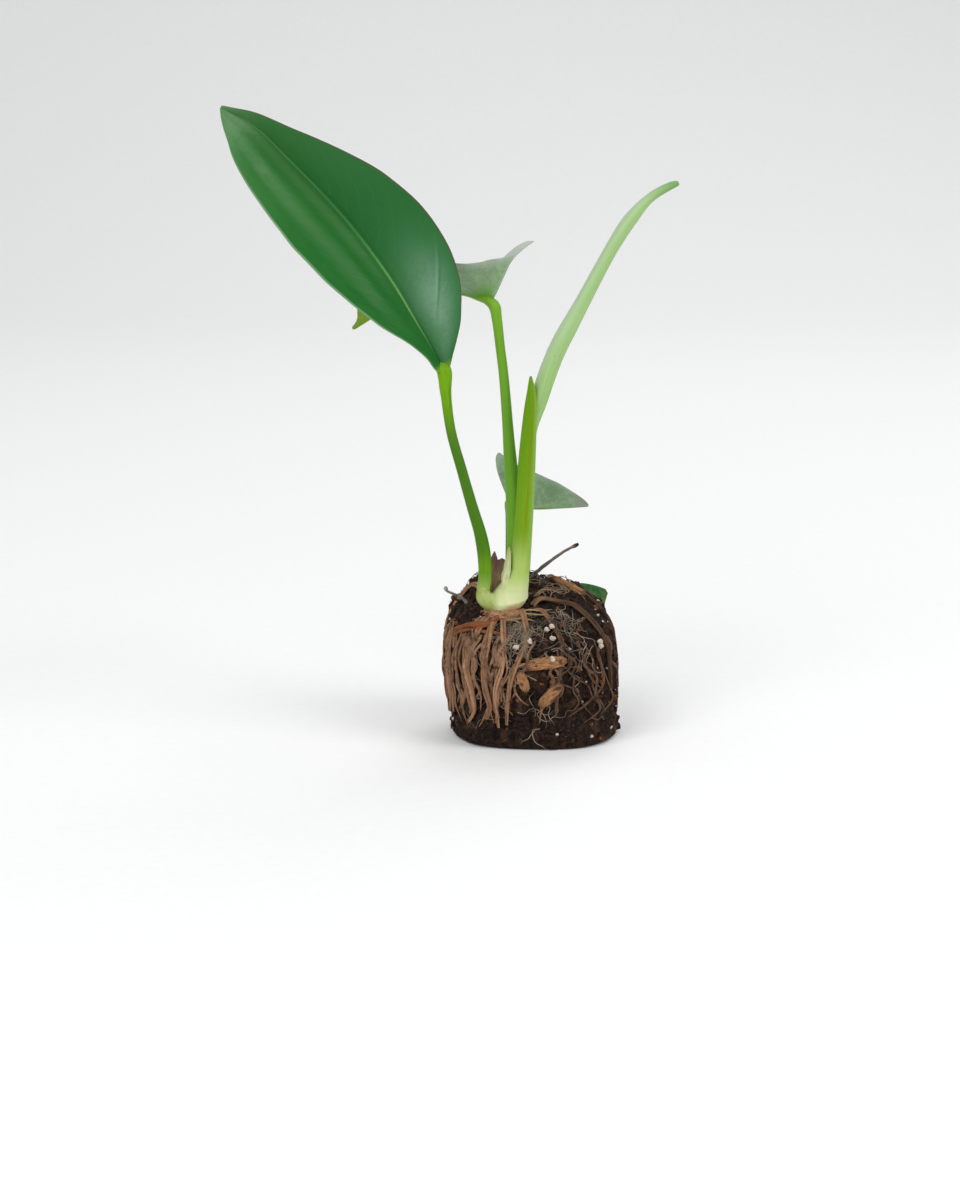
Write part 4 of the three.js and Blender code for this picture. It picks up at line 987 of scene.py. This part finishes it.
STALK_1_COLOURS = [(0.0, srgb(150, 178, 84)), (0.05, srgb(104, 150, 24)), (0.12, srgb(72, 120, 16)),
                   (0.36, srgb(74, 122, 26)), (0.53, srgb(116, 168, 10))]
stalk_1 = piece("stalk_1", [into_leaf(PETIOLE_1, RADIUS_1, LEAF_1, FACE_1, 1.15, stem_form(0.2, 1),
                                      rows=300, sides=56)],
                finish_material("stalk_1_green", roughness=0.38, subsurface_weight=0.08, subsurface_scale=MM,
                                build=lambda f: stalk_green(
                                    f, STALK_1_COLOURS, srgb(112, 160, 50), srgb(54, 104, 18))))
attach(stalk_1, "root")
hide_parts("petiole_1")

STALK_2_COLOURS = [(0.0, srgb(150, 184, 90)), (0.1, srgb(110, 164, 40)), (0.35, srgb(104, 160, 42)),
                   (0.6, srgb(112, 166, 40)), (0.75, srgb(128, 180, 52))]
stalk_2_green = finish_material("stalk_2_green", roughness=0.38, subsurface_weight=0.08, subsurface_scale=MM,
                                build=lambda f: stalk_green(
                                    f, STALK_2_COLOURS, srgb(146, 190, 86), srgb(84, 140, 38)))
stalk_2 = piece("stalk_2", [into_leaf(PETIOLE_2, RADIUS_2, LEAF_2, FACE_2, 0.6, stem_form(0, 9),
                                      rows=300, sides=56)], stalk_2_green)
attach(stalk_2, "root")
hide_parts("petiole_2")

stalk_3 = piece("stalk_3", [into_leaf(PETIOLE_3, RADIUS_3, LEAF_3, FACE_3, 0.4, stem_form(0, 4),
                                      rows=150, sides=40)], stalk_2_green)
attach(stalk_3, "root")
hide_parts("petiole_3")

STALK_4_COLOURS = [(0.0, srgb(126, 104, 88)), (0.6, srgb(150, 132, 110)), (1.0, srgb(112, 130, 84))]
stalk_4 = piece("stalk_4", [tube(PETIOLE_4, [[0, 1.1], [1, 1]], 60, 32, form=stem_form(0, 6))],
                finish_material("dry_stalk_tan", roughness=0.7, build=lambda f: stalk_green(
                    f, STALK_4_COLOURS, srgb(176, 158, 136), srgb(92, 74, 62))))
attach(stalk_4, "root")
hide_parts("petiole_4")


# Leaves
# Thick glossy leaves, folded along a sunk midrib, dark green above and matte grey-green below. Side
# veins leave the midrib at a low angle and bend on along the margin.

VEIN_COUNT = 15
VEIN_SLANT = 0.24


def leaf_relief(pleat, wave):
    """Lengthwise pleats in the left half, low waves of the side veins, and a wavy margin."""
    def relief(t, c):
        left = np.where(c < 0, -c, 0)
        pleats = pleat * (np.exp(-((left - 0.42) / 0.13) ** 2) - 0.7 * np.exp(-((left - 0.7) / 0.1) ** 2))
        slant = t - VEIN_SLANT * np.abs(c) ** 1.4
        veins = 0.006 * np.cos(2 * np.pi * VEIN_COUNT * slant) * smooth(np.abs(c), 0.03, 0.2)
        margin = wave * c ** 4 * noise(np.stack([np.sign(c) + 3, 7 * t, 0 * t], -1), 1.0)
        return pleats * smooth(t, 0.08, 0.4) * smooth(1 - t, 0.02, 0.3) + veins + margin
    return relief


def leaf_marks():
    """Group: masks of a leaf from the place on it: midrib, side veins, the two margins, the face."""
    group = bpy.data.node_groups.new("leaf_marks", "ShaderNodeTree")
    names = ("Across", "Along", "Top", "Midrib", "Vein", "Margin", "Mottle")
    for name in names:
        group.interface.new_socket(name, in_out="OUTPUT", socket_type="NodeSocketFloat")
    f = Finish(group)
    place, across, along, face = f.place()
    off = f.calc("ABSOLUTE", across)
    slant = f.calc("SUBTRACT", along, f.times(f.calc("POWER", off, 1.4), VEIN_SLANT))
    wobble = f.cloud(f.stretched(place, (2.0, 6.0, 1.0)), 1.0, 2.0)
    phase = f.calc("ADD", f.times(slant, VEIN_COUNT * 2 * math.pi), f.times(wobble, 5.0))
    vein = f.step(f.calc("COSINE", phase), 0.86, 1.0)
    vein = f.times(vein, f.times(f.step(off, 0.03, 0.15), f.step(off, 1.0, 0.7)))
    spot = f.spot()
    mottle = f.calc("ADD", f.times(f.cloud(spot, 90.0, 4.0), 0.6),
                    f.times(f.cloud(spot, 900.0, 3.0), 0.4))
    values = (across, along, f.step(face, -0.2, 0.2), f.bell(across, 0.0, 0.015), vein,
              f.step(off, 0.962, 0.985), mottle)
    out = group.nodes.new("NodeGroupOutput")
    for name, socket in zip(names, values):
        group.links.new(socket, out.inputs[name])
    return group


MARKS = leaf_marks()


def large_leaf(f):
    """Dark glossy top with a lime midrib, painted highlights along two pleats in the left half, painted
    sheen towards the tip, and by the base of the right half a painted sheen and one crease painted as
    a highlight line beside a shade line; a matte underside."""
    m = f.node("Group", {}, node_tree=MARKS).outputs
    across, along = m["Across"], m["Along"]
    colour = f.mix(f.step(across, 0.1, -0.1), srgb(30, 104, 44), srgb(28, 104, 34))
    # painted highlights along two pleats of the left half
    pleat_highlights = f.calc("ADD", f.bell(across, -0.17, 0.11), f.bell(across, -0.55, 0.1))
    pleat_highlights = f.times(pleat_highlights, f.times(f.step(along, 0.18, 0.5), 0.7))
    colour = f.mix(pleat_highlights, colour, srgb(66, 116, 64))
    # painted sheen by the base of the right half
    painted_sheen = f.times(f.bell(across, 0.5, 0.34), f.bell(along, 0.17, 0.13))
    colour = f.mix(f.times(painted_sheen, 0.85), colour, srgb(122, 160, 132))
    # painted sheen, lightening the blade towards the tip
    colour = f.mix(f.times(f.step(along, 0.4, 0.95), 0.45), colour, srgb(78, 138, 70))
    colour = f.mix(f.times(f.step(along, 0.8, 1.0), 0.6), colour, srgb(104, 152, 102))
    colour = f.mix(f.times(f.step(m["Mottle"], 0.46, 0.62), 0.3), colour, srgb(44, 116, 48))
    colour = f.mix(f.times(m["Vein"], 0.035), colour, srgb(96, 150, 100))
    lime = f.mix(f.step(along, 0.1, 0.6), srgb(128, 178, 84), srgb(88, 146, 86))
    shown = f.calc("ADD", 0.25, f.times(f.bell(along, 0.26, 0.16), 0.6))
    colour = f.mix(f.times(m["Midrib"], shown), colour, lime)
    # one crease painted as light and shade: a painted highlight line with a painted shade line beside it
    line = f.calc("SUBTRACT", across, f.times(along, 2.8))
    creased = f.bell(along, 0.21, 0.06)
    crease = f.times(f.bell(line, 0.0, 0.025), creased)
    colour = f.mix(f.times(crease, 0.5), colour, srgb(128, 176, 140))
    crease = f.times(f.bell(line, 0.05, 0.03), creased)
    colour = f.mix(f.times(crease, 0.45), colour, srgb(34, 92, 66))
    colour = f.mix(f.step(along, 0.022, 0.0), colour, srgb(112, 160, 24))
    edge = f.mix(f.step(across, -0.5, 0.5), srgb(132, 172, 128), srgb(84, 70, 58))
    colour = f.mix(f.times(m["Margin"], 0.6), colour, edge)
    below = f.mix(f.step(m["Mottle"], 0.4, 0.6), srgb(106, 142, 100), srgb(126, 158, 116))
    below = f.mix(f.times(m["Vein"], 0.4), below, srgb(150, 176, 134))
    below = f.mix(f.bell(across, 0.0, 0.05), below, srgb(140, 176, 92))
    return {"Base Color": f.mix(m["Top"], below, colour), "Roughness": f.step(m["Mottle"], -0.25, 1.35),
            "Normal": f.bump(f.calc("SUBTRACT", f.times(m["Mottle"], 0.6), m["Vein"]), 0.05, 0.3)}


leaf_1 = piece("leaf_blade_1", [blade(LEAF_1, [FACE_1] * 2, [LEFT_1, RIGHT_1], 250, 76,
                                      leaf_relief(0.5, 0.35))],
               finish_material("large_leaf_green", large_leaf, specular_ior_level=0.2,
                               subsurface_weight=0.04, subsurface_scale=MM))
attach(leaf_1, "root")
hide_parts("leaf_1")


def grey_leaf(f, below_dark, below_pale, tip, rim):
    """Leaf seen from below: grey-green with pale veins, a painted sheen along the rim and its own tip
    colour, and lime where the stalk's flesh enters it; the top is deep green with a painted sheen on
    the lobe at the right base."""
    m = f.node("Group", {}, node_tree=MARKS).outputs
    across, along = m["Across"], m["Along"]
    below = f.mix(f.step(m["Mottle"], 0.38, 0.62), below_dark, below_pale)
    below = f.mix(f.times(m["Vein"], 0.35), below, srgb(158, 182, 148))
    below = f.mix(f.bell(across, 0.0, 0.05), below, srgb(136, 176, 84))
    # painted sheen along the rim
    below = f.mix(f.times(f.step(f.calc("ABSOLUTE", across), 0.72, 1.0), 0.6), below, rim)
    below = f.mix(f.step(along, 0.76, 0.86), below, tip)
    above = f.mix(f.step(m["Mottle"], 0.42, 0.62), srgb(44, 104, 52), srgb(70, 126, 66))
    above = f.mix(f.times(m["Midrib"], 0.8), above, srgb(110, 158, 84))
    # painted sheen on the lobe at the right base of the top
    above = f.mix(f.times(f.step(along, 0.12, 0.06), f.step(across, 0.2, 0.5)), above, rim)
    colour = f.mix(m["Top"], below, above)
    flesh = f.times(f.step(along, 0.2, 0.03), f.bell(across, 0.0, 0.3))
    return {"Base Color": f.mix(flesh, colour, srgb(100, 160, 40)),
            "Roughness": f.step(m["Mottle"], -0.3, 1.1), "Normal": f.bump(m["Vein"], 0.12, 0.5)}


leaf_2 = piece("leaf_blade_2", [blade(LEAF_2, [FACE_2, (-0.2, 0.3, 1)], [LEFT_2, RIGHT_2], 220, 64,
                                      leaf_relief(0.2, 0.3))],
               finish_material("leaf_2_green", subsurface_weight=0.06, subsurface_scale=MM,
                               build=lambda f: grey_leaf(f, srgb(136, 168, 128), srgb(160, 186, 152),
                                                         # the last colour is the painted sheen of the rim and
                                                         # the lobe
                                                         srgb(124, 160, 40), srgb(188, 196, 186))))
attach(leaf_2, "root")
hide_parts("leaf_2")

leaf_3 = piece("leaf_blade_3", [blade(LEAF_3, [FACE_3] * 2, [LEFT_3, RIGHT_3], 150, 44,
                                      leaf_relief(0.15, 0.2), 0.22, 0.4)],
               finish_material("leaf_3_green", lambda f: grey_leaf(
                   # the last colour is the painted sheen of the rim and the lobe
                   f, srgb(116, 148, 110), srgb(148, 174, 142), srgb(142, 154, 134), srgb(164, 182, 160))))
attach(leaf_3, "root")
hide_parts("leaf_3")


def old_leaf(f):
    """The small old leaf by the plug: dark green, yellowing at its far corner, grey at its base."""
    m = f.node("Group", {}, node_tree=MARKS).outputs
    colour = f.mix(f.step(m["Mottle"], 0.4, 0.62), srgb(44, 104, 52), srgb(96, 140, 92))
    colour = f.mix(f.times(m["Vein"], 0.4), colour, srgb(122, 160, 116))
    colour = f.mix(f.step(m["Along"], 0.3, 0.0), colour, srgb(140, 152, 128))
    colour = f.mix(f.times(f.step(m["Along"], 0.8, 1.0), 0.5), colour, srgb(120, 130, 52))
    return {"Base Color": colour, "Roughness": f.step(m["Mottle"], -0.2, 1.2),
            "Normal": f.bump(m["Vein"], 0.12, 0.5)}


leaf_4 = piece("leaf_blade_4", [blade(LEAF_4, [FACE_4] * 2, [HALF_4] * 2, 110, 34,
                                      leaf_relief(0.1, 0.2), 0.22, 0.3)],
               finish_material("old_leaf_green", old_leaf))
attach(leaf_4, "root")
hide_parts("leaf_4")


# Sheath
# The folded base of the newest stalk, yellow-green with an olive seam down its front, where its two
# edges meet. It ends in a point, and the rolled leaf comes out of its back.

SHEATH = [[-3.4, -10, 50.6], [-2.6, -10, 60], [-1.8, -10, 73.7], [-1.4, -10, 83], [-0.8, -10.2, 92.4],
          [-0.2, -10.4, 101.8], [-0.4, -10.4, 106.9]]
SEAM_START = 0.12
SEAM_TURN = 0.35
SHEATH_RADIUS = [[0, 3.02], [0.2, 2.7], [0.55, 2.5], [0.75, 2.1], [0.86, 1.75], [0.94, 1.1], [1, 0.35]]


def sheath_form(t, a):
    """A narrow sunk seam a little right of the front, its right lip raised, over slow swellings."""
    seam_angle = SEAM_START + SEAM_TURN * t
    off = np.arctan2(np.sin(a - seam_angle), np.cos(a - seam_angle))
    seam = -0.07 * np.exp(-(off / 0.1) ** 2) + 0.05 * np.exp(-((off - 0.28) / 0.2) ** 2)
    return seam * smooth(t, 0.1, 0.3) + swellings(0.02, 5, 2.0)(t, a)


def sheath_finish(f):
    """Cream at the foot to yellow-green, with the olive seam found by the angle round the sheath."""
    _, sine, _, along = f.place()
    marks = f.node("Group", {}, node_tree=STREAKS).outputs
    colour = f.mix(f.step(along, 0.0, 0.22), srgb(178, 202, 108), srgb(118, 162, 20))
    colour = f.mix(f.step(along, 0.2, 0.7), colour, srgb(104, 152, 4))
    colour = f.mix(f.times(f.step(sine, 0.3, 0.9), 0.7), colour, srgb(142, 184, 74))
    centre = f.calc("ADD", SEAM_START, f.times(along, SEAM_TURN))
    band = f.bell(f.calc("SUBTRACT", sine, centre), 0.0, 0.17)
    band = f.times(band, f.times(f.step(along, 0.0, 0.3), 0.55))
    colour = f.mix(band, colour, srgb(128, 138, 10))
    colour = f.mix(f.times(f.step(marks["Streak"], 0.5, 0.75), 0.3), colour, srgb(164, 198, 84))
    colour = f.mix(f.step(along, 0.965, 1.0), colour, srgb(110, 104, 84))
    return {"Base Color": colour, "Normal": marks["Normal"]}


sheath = piece("leaf_sheath", [tube(SHEATH, SHEATH_RADIUS, 220, 84, depth=0.92, form=sheath_form)],
               finish_material("sheath_green", sheath_finish, roughness=0.4,
                               subsurface_weight=0.12, subsurface_scale=MM))
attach(sheath, "root")
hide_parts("sheath")


# Rolled leaf
# The newest leaf, still rolled up like a scroll: pale green and soft, its free edge a fine line that
# winds once along it. It arches over to the right and ends in a blunt point.

ROLL = [[-1.7, -9.6, 72], [-1.5, -8.4, 78], [-1.2, -7.6, 83], [-0.9, -7.4, 87.4], [-0.3, -7.5, 92.2],
        [1.6, -7.7, 98.3], [4.5, -7.6, 107.3], [7.5, -6.8, 114.8], [11.4, -5.5, 122.1], [15.5, -4.2, 129.5],
        [19.4, -3, 136.7], [23.6, -1.8, 144.1], [28.2, -0.5, 150.9], [33.6, 0.8, 156.6], [39.6, 1.9, 160],
        [41.8, 2.2, 160.7]]
ROLL_RADIUS = [[0, 0.8], [0.08, 1.4], [0.19, 2.1], [0.31, 2.55], [0.45, 2.6], [0.585, 2.15], [0.72, 1.95],
               [0.815, 2.05], [0.908, 1.4], [0.972, 1.15], [0.991, 0.95], [1, 0.6]]
ROLL_FACING = (-0.6, -0.8, 0)


def scroll(t, a):
    """A scroll's section: the radius grows by a tenth round from the free edge and steps back there."""
    turn = (a - 5.6 + 1.5 * t) / (2 * np.pi) % 1
    soft = noise(np.stack([2 * np.sin(a), 2 * np.cos(a), 8 * t], -1), 1.0)
    return 0.95 + 0.11 * turn + 0.02 * soft


def roll_finish(f):
    """Pale green, whiter on the side by the free edge, yellower below, with a few brown specks."""
    _, sine, cosine, along = f.place()
    marks = f.node("Group", {}, node_tree=STREAKS).outputs
    colour = f.mix(f.step(along, 0.15, 0.5), srgb(150, 192, 104), srgb(172, 204, 148))
    colour = f.mix(f.times(f.step(sine, 0.1, -0.8), 0.7), colour, srgb(190, 206, 182))
    colour = f.mix(f.times(f.step(sine, 0.2, 0.9), 0.6), colour, srgb(152, 192, 108))
    colour = f.mix(f.times(f.step(marks["Streak"], 0.48, 0.72), 0.5), colour, srgb(204, 222, 188))
    colour = f.mix(f.step(along, 0.85, 1.0), colour, srgb(118, 168, 92))
    fleck = f.step(f.cloud(f.spot(), 900.0, 1.0), 0.74, 0.78)
    fleck = f.times(fleck, f.step(along, 0.55, 0.3))
    colour = f.mix(f.times(fleck, 0.6), colour, srgb(96, 116, 50))
    return {"Base Color": colour, "Normal": marks["Normal"]}


roll = piece("rolled_leaf", [tube(ROLL, ROLL_RADIUS, 300, 96, ROLL_FACING, form=scroll)],
             finish_material("roll_green", roll_finish, roughness=0.42,
                             subsurface_weight=0.15, subsurface_scale=MM), crease=40)
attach(roll, "root")
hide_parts("new_leaf")


# Studio
# A pale floor that sweeps up behind, square area lights turned to the middle of the plant, and a
# camera above the leaves that looks down by twelve degrees.

FLOOR_HALF = 3.0
SWEEP_START = 1.0
SWEEP_RADIUS = 0.8
lengthwise = np.linspace(0, 1, 60)
turn = np.clip((lengthwise - 0.4) / 0.3, 0, 1) * math.pi / 2
floor_y = np.where(lengthwise < 0.4, -FLOOR_HALF + (SWEEP_START + FLOOR_HALF) * lengthwise / 0.4,
                   SWEEP_START + SWEEP_RADIUS * np.sin(turn))
floor_z = SWEEP_RADIUS * (1 - np.cos(turn)) + np.maximum(0, lengthwise - 0.7) * 8
floor_points = [(x, y, z) for y, z in zip(floor_y, floor_z) for x in (-FLOOR_HALF, FLOOR_HALF)]
floor_faces = [(2 * i, 2 * i + 1, 2 * i + 3, 2 * i + 2) for i in range(len(lengthwise) - 1)]
floor_mesh = bpy.data.meshes.new("studio_floor")
floor_mesh.from_pydata(floor_points, [], floor_faces)
floor_mesh.shade_smooth()


def pale_paper(f):
    """Nearly white, with the faint grain of paper."""
    grain = f.cloud(f.spot(), 300.0, 2.0)
    return {"Base Color": f.mix(grain, (0.86, 0.86, 0.855, 1), (0.9, 0.9, 0.895, 1))}


floor_mesh.materials.append(finish_material("pale_paper", pale_paper, roughness=0.9))
floor = bpy.data.objects.new("studio_floor", floor_mesh)
bpy.context.scene.collection.objects.link(floor)

PLANT_MIDDLE = np.array([-0.01, 0.0, 0.1])
SOFTBOXES = [("key_light", (-0.7, -1.0, 1.1), 0.9, 11.5), ("side_light", (0.9, -0.5, 0.8), 0.7, 6),
             ("back_light", (0.3, 0.9, 1.1), 0.8, 5.4)]
for name, at, size, power in SOFTBOXES:
    light = bpy.data.lights.new(name, "AREA")
    light.size = size
    light.energy = power
    obj = bpy.data.objects.new(name, light)
    obj.location = at
    x, y, z = np.array(at) - PLANT_MIDDLE
    obj.rotation_euler = (math.atan2(math.hypot(x, y), z), 0, math.atan2(x, -y))
    bpy.context.scene.collection.objects.link(obj)

world = bpy.data.worlds.new("studio")
world.use_nodes = True
world.node_tree.nodes["Background"].inputs["Color"].default_value = (0.97, 0.98, 1.0, 1)
world.node_tree.nodes["Background"].inputs["Strength"].default_value = 0.5
bpy.context.scene.world = world
bpy.context.scene.view_settings.view_transform = "Standard"

camera_data = bpy.data.cameras.new("camera")
camera_data.lens = 90
camera_data.sensor_width = 36
camera_data.clip_end = 20
camera = bpy.data.objects.new("camera", camera_data)
camera.location = (-0.014853, -0.859708, 0.222274)
camera.rotation_euler = (math.radians(78), 0, 0)
bpy.context.scene.collection.objects.link(camera)
bpy.context.scene.camera = camera

bpy.context.view_layer.update()
